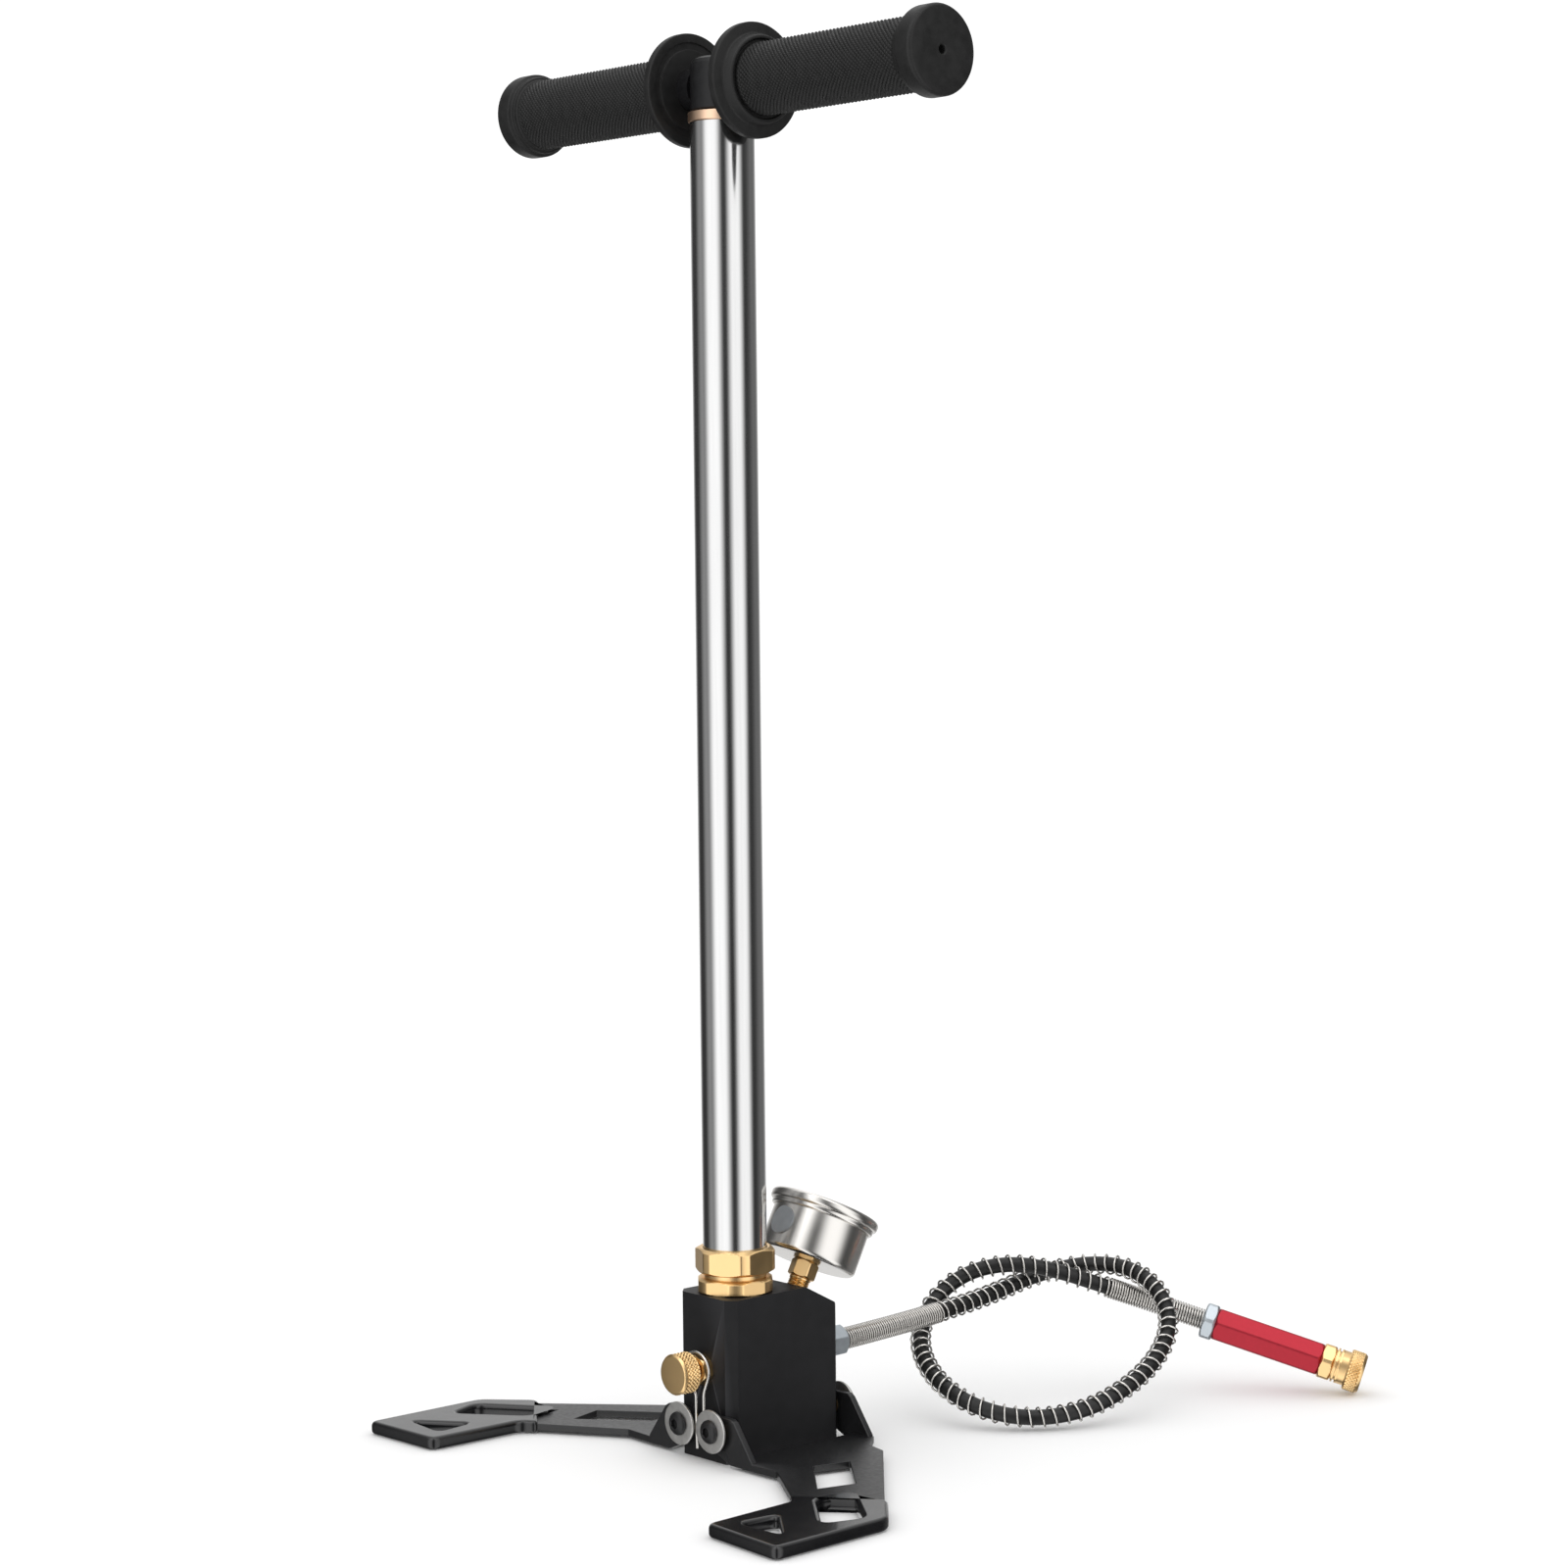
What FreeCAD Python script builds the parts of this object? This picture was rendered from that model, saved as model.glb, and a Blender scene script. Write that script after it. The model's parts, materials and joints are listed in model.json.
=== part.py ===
import FreeCAD, Part
import math
import os
import Sketcher

# Three-stage high-pressure stirrup pump with fold-up feet, gauge and hose.
# Frame: millimetres, origin on the floor under the barrel's axis, +Z up the
# barrel, +X to the rear, where the gauge and the hose are, and +Y to the left foot.

DIMENSIONS = {
    # barrel and its nuts
    "barrel_od": 28.0, "barrel_id": 25.0, "barrel_low": 84.0, "barrel_top": 578.7,
    "nut_across_flats": 32.5, "nut_turned_od": 35.4, "nut_low": 80.5, "nut_top": 91.5,
    "union_across_flats": 32.5, "union_turned_od": 34.6, "union_hex_top": 78.5,
    "union_neck_od": 27.4, "union_spigot_od": 22.0, "union_thread_od": 24.96,
    "union_low": 50.0, "union_top": 100.0,
    "gland_od": 29.3, "gland_top": 582.9, "gland_low": 560.0,
    # plunger
    "piston_tube_od": 20.0, "piston_tube_id": 17.0, "piston_tube_low": 118.0,
    "piston_tube_top": 589.5, "piston_od": 24.9, "piston_low": 106.0,
    "inner_tube_od": 12.0, "inner_tube_id": 9.0, "inner_tube_low": 60.0,
    "inner_tube_top": 560.0, "rod_od": 5.0, "rod_low": 100.0,
    "fit_gap": 0.05, "stroke": 425.0,
    # handle
    "bar_height": 594.3, "boss_od": 27.0, "boss_low": 583.2, "boss_top": 606.0,
    "arm_od": 18.0, "stub_od": 8.6, "arm_end": 132.0, "half_handle": 136.0,
    "grip_inner_face": 19.5, "flange_od": 49.0, "flange_width": 3.6,
    "collar_od": 37.0, "collar_width": 4.6, "grip_od": 31.2,
    "cap_od": 37.4, "cap_width": 9.0, "cap_step_od": 34.4, "cap_step_width": 4.0,
    # base block
    "block_front": 18.5, "block_rear": 46.5, "block_half_width": 18.0,
    "block_height": 72.0, "corner_chamfer": 4.0, "facet_start": 25.5, "facet_angle": 28.0,
    "port_height": 40.0, "port_od": 9.7, "passage_od": 3.0,
    # foot plates and their hinges
    "hinge_offset": 10.5, "hinge_height": 15.0, "eye_radius": 9.5, "ear_rise": 6.6, "ear_gap": 0.2,
    "sheet_thickness": 3.0, "sheet_low": 1.5, "coat": 1.5, "bush_od": 8.0,
    "bush_length": 5.0, "screw_od": 6.0, "screw_depth": 11.0, "washer_od": 19.0,
    "washer_thickness": 1.2, "head_od": 10.4, "head_height": 2.7, "socket_flats": 4.0,
    # bleed valve and its clip
    "bleed_hex_flats": 12.0, "bleed_hex_length": 5.0, "knob_od": 18.0,
    "knob_back": 27.3, "knob_face": 36.3, "bleed_stem_od": 6.0, "bleed_neck_od": 8.6,
    "clip_wire": 1.5, "clip_plane": 22.7, "clip_loop": 8.5,
    # gauge, measured along its own axis from the sloping facet
    "gauge_x": 35.6, "gauge_z": 66.63, "stem_flats": 11.2, "stem_hex_low": 5.8,
    "stem_hex_top": 13.4, "case_od": 44.4, "case_low": 13.4, "case_top": 35.2,
    "case_wall": 0.8, "bezel_od": 50.2, "bezel_top": 40.0, "dial_level": 32.0,
    "needle_level": 33.2, "lens_level": 35.2, "plug_od": 12.6,
    # hose and its end
    "fitting_flats": 13.0, "fitting_end": 63.0, "hose_od": 7.0, "hose_id": 3.0,
    "guard_od": 10.0, "guard_id": 8.2, "end_nut_flats": 16.4, "end_nut_length": 6.0,
    "filter_flats": 14.6, "filter_length": 51.3, "coupler_length": 20.3,
    "coupler_hex_flats": 16.0, "coupler_hex_length": 6.0, "coupler_neck_od": 14.0,
    "coupler_ring_od": 17.0, "sleeve_od": 19.4, "sleeve_length": 7.6, "sleeve_travel": 3.0,
    "probe_od": 8.0, "probe_depth": 12.0,
}

# The hose's route from the outlet fitting to the end nut, point by point.
HOSE_ROUTE = [
    (63, 0, 40), (92, 0, 41), (121, -1, 43), (155, -1, 46), (184, -2, 51.5),
    (206, -14, 56.5), (214, -36, 57), (211.5, -57.5, 49.5), (204, -72, 37.5),
    (188, -79, 25), (165, -81, 14.7), (141, -77, 7.5), (120, -66, 5.2),
    (106, -49, 8), (101, -28, 15), (107.5, -6, 24), (120.5, 9.5, 34),
    (136.5, 14, 47.5), (152.5, 7.5, 57.5), (169, -5.5, 60.5), (185, -18, 56),
    (200, -27.5, 49.5), (220, -43, 40.5), (235, -64, 32.5),
]

HEX_RATIO = math.sqrt(3.0)
SHEET_NAME = "sizes"

doc = FreeCAD.newDocument("pump")
sheet = doc.addObject("Spreadsheet::Sheet", SHEET_NAME)
for row, (alias, number) in enumerate(DIMENSIONS.items(), start=1):
    sheet.set("A%d" % row, alias)
    sheet.set("B%d" % row, str(number))
    sheet.setAlias("B%d" % row, alias)
doc.recompute()


class Size:
    """A length with its number and the spreadsheet formula that gives it."""

    def __init__(self, number, formula):
        self.number = number
        self.formula = formula

    def combine(self, other, sign, number):
        return Size(number, "(%s %s %s)" % (self.formula, sign, formula_of(other)))

    def __add__(self, other):
        return self.combine(other, "+", self.number + number_of(other))

    def __sub__(self, other):
        return self.combine(other, "-", self.number - number_of(other))

    def __mul__(self, other):
        return self.combine(other, "*", self.number * number_of(other))

    def __truediv__(self, other):
        return self.combine(other, "/", self.number / number_of(other))

    def __neg__(self):
        return Size(-self.number, "(-1 * %s)" % self.formula)


def number_of(size):
    return size.number if isinstance(size, Size) else float(size)


def formula_of(size):
    return size.formula if isinstance(size, Size) else repr(float(size))


def dim(alias):
    return Size(DIMENSIONS[alias], "%s.%s" % (SHEET_NAME, alias))


def vector(x, y, z):
    return FreeCAD.Vector(number_of(x), number_of(y), number_of(z))


def place(x=0.0, y=0.0, z=0.0, axis=(0, 0, 1), angle=0.0):
    return FreeCAD.Placement(vector(x, y, z), FreeCAD.Rotation(FreeCAD.Vector(*axis), angle))


def along(point, direction):
    """Puts a piece made along +Z at a point, with its axis along a direction."""
    turn = FreeCAD.Rotation(FreeCAD.Vector(0, 0, 1), FreeCAD.Vector(*direction))
    return FreeCAD.Placement(FreeCAD.Vector(*point), turn)


def bind(thing, **sizes):
    for name, size in sizes.items():
        setattr(thing, name, number_of(size))
        if isinstance(size, Size):
            thing.setExpression(name, size.formula)


sub_parts = {}


def sub_part(label, thing):
    """Names one physical piece, or a group of identical ones."""
    thing.Label = label
    sub_parts[label] = thing
    return thing


# ---- sketches and features -------------------------------------------------------

def new_body(placement=None):
    body = doc.addObject("PartDesign::Body", "Body")
    if placement is not None:
        body.Placement = placement
    return body


def plane_of(body, role):
    return [item for item in body.Origin.OriginFeatures if item.Role == role][0]


def new_sketch(body, role, offset=0.0):
    sketch = body.newObject("Sketcher::SketchObject", "Sketch")
    sketch.AttachmentSupport = [(plane_of(body, role), "")]
    sketch.MapMode = "FlatFace"
    if number_of(offset):
        sketch.AttachmentOffset = place(z=offset)
        if isinstance(offset, Size):
            sketch.setExpression("AttachmentOffset.Base.z", offset.formula)
    return sketch


def pin_coordinate(sketch, kind, corner, size):
    """Ties one coordinate of a corner to its size, or to the axis where it is zero."""
    geometry, point = corner
    if abs(number_of(size)) < 1e-9:
        axis = -2 if kind == "DistanceX" else -1
        sketch.addConstraint(Sketcher.Constraint("PointOnObject", geometry, point, axis))
        return
    index = sketch.addConstraint(
        Sketcher.Constraint(kind, -1, 1, geometry, point, number_of(size)))
    if isinstance(size, Size):
        sketch.setExpression("Constraints[%d]" % index, size.formula)


def polygon(sketch, corners):
    """A closed outline of straight lines, with every corner dimensioned."""
    points = [vector(x, y, 0) for x, y in corners]
    first = sketch.GeometryCount
    count = len(points)
    for i in range(count):
        sketch.addGeometry(Part.LineSegment(points[i], points[(i + 1) % count]), False)
    for i in range(count):
        following = first + (i + 1) % count
        sketch.addConstraint(Sketcher.Constraint("Coincident", first + i, 2, following, 1))
    for i, (x, y) in enumerate(corners):
        pin_coordinate(sketch, "DistanceX", (first + i, 1), x)
        pin_coordinate(sketch, "DistanceY", (first + i, 1), y)
    return sketch


def circle(sketch, x, y, radius):
    centre = vector(x, y, 0)
    normal = FreeCAD.Vector(0, 0, 1)
    index = sketch.addGeometry(Part.Circle(centre, normal, number_of(radius)), False)
    pin_coordinate(sketch, "DistanceX", (index, 3), x)
    pin_coordinate(sketch, "DistanceY", (index, 3), y)
    rule = sketch.addConstraint(Sketcher.Constraint("Radius", index, number_of(radius)))
    if isinstance(radius, Size):
        sketch.setExpression("Constraints[%d]" % rule, radius.formula)
    return sketch


def pad(body, sketch, length, both_ways=False):
    feature = body.newObject("PartDesign::Pad", "Pad")
    feature.Profile = sketch
    feature.Midplane = both_ways
    bind(feature, Length=length)
    return feature


def pocket(body, sketch, length, both_ways=True):
    feature = body.newObject("PartDesign::Pocket", "Pocket")
    feature.Profile = sketch
    feature.Midplane = both_ways
    bind(feature, Length=length)
    return feature


def turned(outline, placement=None):
    """A lathe-turned body: (radius, height) corners turned about its own Z axis."""
    body = new_body(placement)
    sketch = polygon(new_sketch(body, "XZ_Plane"), outline)
    feature = body.newObject("PartDesign::Revolution", "Revolution")
    feature.Profile = sketch
    feature.ReferenceAxis = (sketch, ["V_Axis"])
    feature.Angle = 360.0
    return body


def ring(outer, inner, low, high, placement=None):
    """A turned ring, tube or washer, given its two diameters and its two ends."""
    return turned([(inner / 2, low), (outer / 2, low), (outer / 2, high), (inner / 2, high)],
                  placement)


def cylinder(radius, height, placement):
    thing = doc.addObject("Part::Cylinder", "Cylinder")
    bind(thing, Radius=radius, Height=height)
    thing.Placement = placement
    return thing


def hexagon(flats, height, placement):
    thing = doc.addObject("Part::Prism", "Prism")
    thing.Polygon = 6
    bind(thing, Circumradius=flats / HEX_RATIO, Height=height)
    thing.Placement = placement
    return thing


def torus(radius, wire, placement):
    thing = doc.addObject("Part::Torus", "Torus")
    bind(thing, Radius1=radius, Radius2=wire / 2)
    thing.Placement = placement
    return thing


def cut(base, tool):
    thing = doc.addObject("Part::Cut", "Cut")
    thing.Base = base
    thing.Tool = tool
    return thing


def common(base, tool):
    thing = doc.addObject("Part::Common", "Common")
    thing.Base = base
    thing.Tool = tool
    return thing


def fuse(*things):
    thing = doc.addObject("Part::MultiFuse", "Fuse")
    thing.Shapes = list(things)
    return thing


def group(things):
    """Identical pieces in one node, as separate solids."""
    thing = doc.addObject("Part::Compound", "Group")
    thing.Links = things
    return thing


def raw(shape, placement=None):
    """A piece that only Part's own functions make."""
    thing = doc.addObject("Part::Feature", "Feature")
    thing.Shape = shape
    if placement is not None:
        thing.Placement = placement
    return thing


# ---- routes and wires -------------------------------------------------------------

def rounded_path(points, share=0.45, report=None):
    """Straight runs joined by tangent arcs, each as large as its two runs allow."""
    points = [FreeCAD.Vector(*point) for point in points]
    edges = []
    start = points[0]
    for before, corner, after in zip(points, points[1:], points[2:]):
        back = before - corner
        ahead = after - corner
        reach = share * min(back.Length, ahead.Length)
        back.normalize()
        ahead.normalize()
        turn = math.pi - back.getAngle(ahead)
        radius = reach / math.tan(turn / 2)
        arc_in = corner + back * reach
        arc_out = corner + ahead * reach
        middle_way = back + ahead
        middle_way.normalize()
        dip = radius / math.cos(turn / 2) - radius
        edges.append(Part.LineSegment(start, arc_in).toShape())
        edges.append(Part.Arc(arc_in, corner + middle_way * dip, arc_out).toShape())
        start = arc_out
        if report is not None:
            report.append((math.degrees(turn), radius))
    edges.append(Part.LineSegment(start, points[-1]).toShape())
    return Part.Wire(edges)


def swept(path, radius):
    """A round bar along a path."""
    start = path.Edges[0].valueAt(path.Edges[0].FirstParameter)
    heading = path.Edges[0].tangentAt(path.Edges[0].FirstParameter)
    profile = Part.Wire(Part.makeCircle(number_of(radius), start, heading))
    return path.makePipeShell([profile], True, False)


def coil(radius, wire, pitch, height, placement):
    """A helical spring, swept from its wire."""
    spine = doc.addObject("Part::Helix", "Helix")
    bind(spine, Radius=radius, Pitch=pitch, Height=height)
    spine.Placement = placement
    section = doc.addObject("Part::Circle", "Circle")
    bind(section, Radius=wire / 2)
    upright = FreeCAD.Rotation(FreeCAD.Vector(1, 0, 0), 90)
    section.Placement = placement.multiply(FreeCAD.Placement(vector(radius, 0, 0), upright))
    thing = doc.addObject("Part::Sweep", "Sweep")
    thing.Sections = [section]
    thing.Spine = (spine, ["Edge1"])
    thing.Solid = True
    thing.Frenet = True
    return thing


# ---- barrel, nuts and the fixed inner tube ------------------------------------------

def build_barrel():
    sub_part("outer_tube", ring(dim("barrel_od"), dim("barrel_id"),
                                dim("barrel_low"), dim("barrel_top")))
    bore = (dim("piston_tube_od") + dim("fit_gap") * 2) / 2
    seat = dim("barrel_id") / 2
    low = dim("gland_low")
    rim = dim("barrel_top")
    top = dim("gland_top")
    groove = bore + 1.5
    sub_part("gland_bush", turned([
        (bore, low), (seat, low), (seat, rim), (dim("gland_od") / 2, rim),
        (dim("gland_od") / 2, top - 0.5), (dim("gland_od") / 2 - 0.5, top), (bore, top),
        (bore, top - 6), (groove, top - 6), (groove, top - 9), (bore, top - 9)]))
    sub_part("gland_wiper", torus(bore + 0.75, Size(1.4, "1.4"), place(z=top - 7.5)))


def build_union():
    block_top = dim("block_height")
    hex_top = dim("union_hex_top")
    hexagonal = common(
        hexagon(dim("union_across_flats"), hex_top - block_top, place(z=block_top, angle=50)),
        cylinder(dim("union_turned_od") / 2, hex_top - block_top, place(z=block_top)))
    neck = dim("union_neck_od") / 2
    thread = dim("union_thread_od") / 2
    tube = dim("inner_tube_od") / 2
    groove = thread - 1.9
    groove_low = dim("union_top") - 5
    sub_part("union_o_ring", torus(thread - 0.93, Size(1.8, "1.8"), place(z=groove_low + 1.2)))
    core = turned([
        (2, dim("union_low")), (dim("union_spigot_od") / 2, dim("union_low")),
        (dim("union_spigot_od") / 2, block_top + 1), (neck, block_top + 1),
        (neck, dim("barrel_low")), (thread, dim("barrel_low")), (thread, groove_low),
        (groove, groove_low), (groove, groove_low + 2.4), (thread, groove_low + 2.4),
        (thread, dim("union_top")), (tube, dim("union_top")), (tube, dim("inner_tube_low")), (2, dim("inner_tube_low"))])
    way = cylinder(tube, Size(60, "60"), place(z=dim("inner_tube_low")))
    sub_part("base_union", fuse(cut(hexagonal, way), core))

    low = dim("nut_low")
    height = dim("nut_top") - low
    nut = common(hexagon(dim("nut_across_flats"), height, place(z=low, angle=6)),
                 cylinder(dim("nut_turned_od") / 2, height, place(z=low)))
    bore = turned([(0, low - 1), (neck, low - 1), (neck, dim("barrel_low")),
                   (dim("barrel_od") / 2, dim("barrel_low")),
                   (dim("barrel_od") / 2, dim("nut_top") + 1), (0, dim("nut_top") + 1)])
    sub_part("barrel_nut", cut(nut, bore))


def build_inner_tube():
    top = dim("inner_tube_top")
    bore = dim("inner_tube_id") / 2
    sub_part("inner_tube", ring(dim("inner_tube_od"), dim("inner_tube_id"),
                                dim("inner_tube_low"), top - 10))
    head = dim("piston_tube_id") / 2 - dim("fit_gap")
    sub_part("second_stage_piston", turned([
        (bore, top - 10), (head, top - 10), (head, top - 6), (head - 1.8, top - 6),
        (head - 1.8, top - 4), (head, top - 4), (head, top), (bore, top)]))
    sub_part("second_stage_seal", torus(head - 0.9, Size(1.8, "1.8"), place(z=top - 5)))


# ---- plunger and handle --------------------------------------------------------------

def build_plunger():
    low = dim("piston_low")
    tube_low = dim("piston_tube_low")
    bore = dim("inner_tube_od") / 2 + dim("fit_gap")
    wall = dim("piston_od") / 2
    sub_part("piston_tube", ring(dim("piston_tube_od"), dim("piston_tube_id"),
                                 tube_low, dim("piston_tube_top")))
    sub_part("first_stage_piston", turned([
        (bore, low), (wall - 0.5, low), (wall - 0.5, low + 0.6), (wall - 1.65, low + 0.6),
        (wall - 1.65, low + 2.6), (wall - 0.5, low + 2.6), (wall - 0.5, low + 3.9),
        (wall - 2.45, low + 3.9), (wall - 2.45, low + 6.5), (wall - 0.5, low + 6.5),
        (wall - 0.5, tube_low), (bore, tube_low)]))
    sub_part("piston_seal", torus(wall - 1.2, Size(2.4, "2.4"), place(z=low + 5.2)))
    sub_part("piston_guide_ring", ring(dim("piston_od"), dim("piston_od") - 3.2,
                                       low + 0.7, low + 2.5))
    top = dim("piston_tube_top")
    anchor = dim("piston_tube_id") / 2
    rod = dim("rod_od") / 2
    sub_part("rod_anchor", turned([(rod, top - 18), (anchor, top - 18), (anchor, top),
                                   (0, top), (0, top - 4), (rod, top - 4)]))
    tip = dim("rod_low")
    head = dim("inner_tube_id") / 2 - dim("fit_gap")
    sub_part("third_stage_rod", turned([
        (0, tip), (head, tip), (head, tip + 3), (head - 1.2, tip + 3), (head - 1.2, tip + 5),
        (head, tip + 5), (head, tip + 8), (rod, tip + 10), (rod, top - 4), (0, top - 4)]))
    sub_part("third_stage_seal", torus(head - 0.6, Size(1.15, "1.15"), place(z=tip + 4)))


def build_handle():
    low = dim("boss_low")
    top = dim("boss_top")
    radius = dim("boss_od") / 2
    socket = dim("piston_tube_od") / 2
    boss = turned([
        (0, dim("piston_tube_top")), (socket, dim("piston_tube_top")), (socket, low),
        (radius - 0.8, low), (radius, low + 0.8), (radius, top - 3), (radius - 1, top - 1),
        (radius - 3, top), (0, top)])
    height = dim("bar_height")
    stub = dim("stub_od") / 2
    cross_hole = cylinder(stub, radius * 2 + 2, place(y=radius + 1, z=height,
                                                      axis=(1, 0, 0), angle=90))
    sub_part("handle_boss", cut(boss, cross_hole))
    shoulder = radius
    end = dim("arm_end")
    arm = dim("arm_od") / 2
    for name, side in (("left", 1), ("right", -1)):
        outward = along((0, 0, number_of(height)), (0, side, 0))
        bar = turned([(0, 0.3), (stub, 0.3), (stub, shoulder - 0.9), (arm, shoulder - 0.9),
                      (arm, end), (0, end)], outward)
        hollow = cylinder(radius, top - low, place(z=low))
        nose = cylinder(stub, radius, outward)
        sub_part("handle_arm_" + name, fuse(cut(bar, hollow), common(bar, nose)))
        build_grip(name, outward)


def build_grip(name, outward):
    inner = dim("grip_inner_face")
    flange_end = inner + dim("flange_width")
    collar_end = flange_end + dim("collar_width")
    face = dim("half_handle")
    cap_start = face - dim("cap_width")
    step_start = cap_start - dim("cap_step_width")
    arm = dim("arm_od") / 2
    flange = dim("flange_od") / 2
    collar = dim("collar_od") / 2
    body = dim("grip_od") / 2
    step = dim("cap_step_od") / 2
    cap = dim("cap_od") / 2
    sub_part("grip_" + name, turned([
        (arm, inner), (flange - 1, inner), (flange, inner + 1), (flange, flange_end - 1),
        (flange - 1, flange_end), (collar, flange_end), (collar, collar_end - 1.4),
        (collar - 1.4, collar_end), (body, collar_end), (body, step_start),
        (step, step_start), (step, cap_start), (cap, cap_start), (cap, face - 1.5),
        (cap - 1.5, face), (1.4, face), (1.4, dim("arm_end")), (arm, dim("arm_end"))],
        outward))


# ---- base block --------------------------------------------------------------------------

def gauge_placement():
    return place(x=dim("gauge_x"), z=dim("gauge_z"), axis=(0, 1, 0),
                 angle=DIMENSIONS["facet_angle"])


def build_block():
    front = -dim("block_front")
    rear = dim("block_rear")
    half = dim("block_half_width")
    chamfer = dim("corner_chamfer")
    height = dim("block_height")
    body = new_body()
    outline = polygon(new_sketch(body, "XY_Plane"), [
        (front + chamfer, -half), (rear - chamfer, -half), (rear, -half + chamfer),
        (rear, half - chamfer), (rear - chamfer, half), (front + chamfer, half),
        (front, half - chamfer), (front, -half + chamfer)])
    pad(body, outline, height)
    slope = math.tan(math.radians(DIMENSIONS["facet_angle"]))
    drop = (rear - dim("facet_start")) * slope
    facet = polygon(new_sketch(body, "XZ_Plane"), [
        (dim("facet_start"), height), (rear, height - drop), (rear + 4, height - drop),
        (rear + 4, height + 4), (dim("facet_start"), height + 4)])
    pocket(body, facet, half * 3)
    doc.recompute()

    port = dim("port_height")
    passage = dim("passage_od") / 2
    tools = [
        cylinder(dim("union_spigot_od") / 2, Size(40, "40"), place(z=dim("union_low"))),
        cylinder(passage, Size(20, "20"), place(z=port)),
        cylinder(Size(3.2, "3.2"), Size(9, "9"), place(z=port + 2)),
        cylinder(passage, dim("block_front") + rear, place(x=front, z=port, axis=(0, 1, 0), angle=90)),
        cylinder(dim("port_od") / 2, Size(10.5, "10.5"), place(x=front - 0.01, z=port, axis=(0, 1, 0), angle=90)),
        cylinder(dim("port_od") / 2, Size(12.5, "12.5"), place(x=rear - 12.49, z=port, axis=(0, 1, 0), angle=90)),
        cylinder(dim("port_od") / 2, Size(9, "9"), gauge_placement().multiply(place(z=-8))),
        cylinder(passage, Size(30, "30"), gauge_placement().multiply(place(z=-27))),
    ]
    depth = dim("screw_depth")
    for y in (-dim("hinge_offset"), dim("hinge_offset")):
        tools.append(cylinder(dim("screw_od") / 2, depth, place(
            x=front, y=y, z=dim("hinge_height"), axis=(0, 1, 0), angle=90)))
        tools.append(cylinder(dim("screw_od") / 2, depth, place(
            x=rear - depth, y=y, z=dim("hinge_height"), axis=(0, 1, 0), angle=90)))
    sub_part("base_block", cut(body, fuse(*tools)))


# ---- hinges and foot plates ---------------------------------------------------------------

def hinge_sites():
    """Where the four hinge screws stand, with the way each one points out."""
    sites = []
    for face, way in ((-dim("block_front"), -1), (dim("block_rear"), 1)):
        for side in (-1, 1):
            y = side * DIMENSIONS["hinge_offset"]
            sites.append(along((number_of(face), y, DIMENSIONS["hinge_height"]), (way, 0, 0)))
    return sites


def build_hinges():
    shank = dim("screw_od") / 2
    length = dim("bush_length")
    washer_top = length + dim("washer_thickness")
    head = dim("head_od") / 2
    rise = dim("head_height")
    screws = []
    bushes = []
    washers = []
    for site in hinge_sites():
        screw = turned([
            (0, -dim("screw_depth")), (shank, -dim("screw_depth")), (shank, washer_top),
            (head, washer_top), (head, washer_top + rise * 0.3),
            (head * 0.86, washer_top + rise * 0.65), (head * 0.6, washer_top + rise * 0.9),
            (head * 0.45, washer_top + rise), (0, washer_top + rise)], site)
        socket = hexagon(dim("socket_flats"), rise, site.multiply(place(z=washer_top + rise * 0.4)))
        screws.append(cut(screw, socket))
        bushes.append(ring(dim("bush_od"), dim("screw_od"), dim("bush_length") * 0, length, site))
        washers.append(ring(dim("washer_od"), dim("screw_od"), length, washer_top, site))
    sub_part("hinge_screws", group(screws))
    sub_part("hinge_bushes", group(bushes))
    sub_part("hinge_washers", group(washers))


# Plan of a foot plate, as (x, distance out from the pump's centre plane).
PLATE_OUTLINE = [(-21, 50), (-49, 93), (-96.2, 94.6), (-98.4, 136.9), (-39.2, 136.5), (36, 55.5)]
COAT_OUTLINE = [(-45.4, 84.4), (-49.8, 91.5), (-97.6, 93), (-100, 138.5), (-38.5, 138),
                (-19.3, 117.3)]
LEG_WINDOW = [(-3.5, 54), (12.8, 59), (-9.5, 87), (-26.5, 82)]
MIDDLE_WINDOW = [(-41, 97), (-24.2, 100.8), (-45.5, 130.5), (-62.5, 124.5)]
TOE_WINDOW = [(-87, 102), (-68.5, 104.5), (-85, 125.5)]
PLATE_INNER_EDGE = 24.0
EAR_FOOT = 35.0


def mirrored(points, side):
    return [(x, side * y) for x, y in points]


def grown(points, amount):
    """The same outline with each side moved out by an amount."""
    centre_x = sum(x for x, y in points) / len(points)
    centre_y = sum(y for x, y in points) / len(points)
    lines = []
    for (x1, y1), (x2, y2) in zip(points, points[1:] + points[:1]):
        length = math.hypot(x2 - x1, y2 - y1)
        normal = ((y2 - y1) / length, (x1 - x2) / length)
        if normal[0] * (x1 - centre_x) + normal[1] * (y1 - centre_y) < 0:
            normal = (-normal[0], -normal[1])
        lines.append((normal, normal[0] * x1 + normal[1] * y1 + amount))
    corners = []
    for (n1, d1), (n2, d2) in zip(lines[-1:] + lines[:-1], lines):
        span = n1[0] * n2[1] - n1[1] * n2[0]
        corners.append(((d1 * n2[1] - d2 * n1[1]) / span, (n1[0] * d2 - n2[0] * d1) / span))
    return corners


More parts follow.
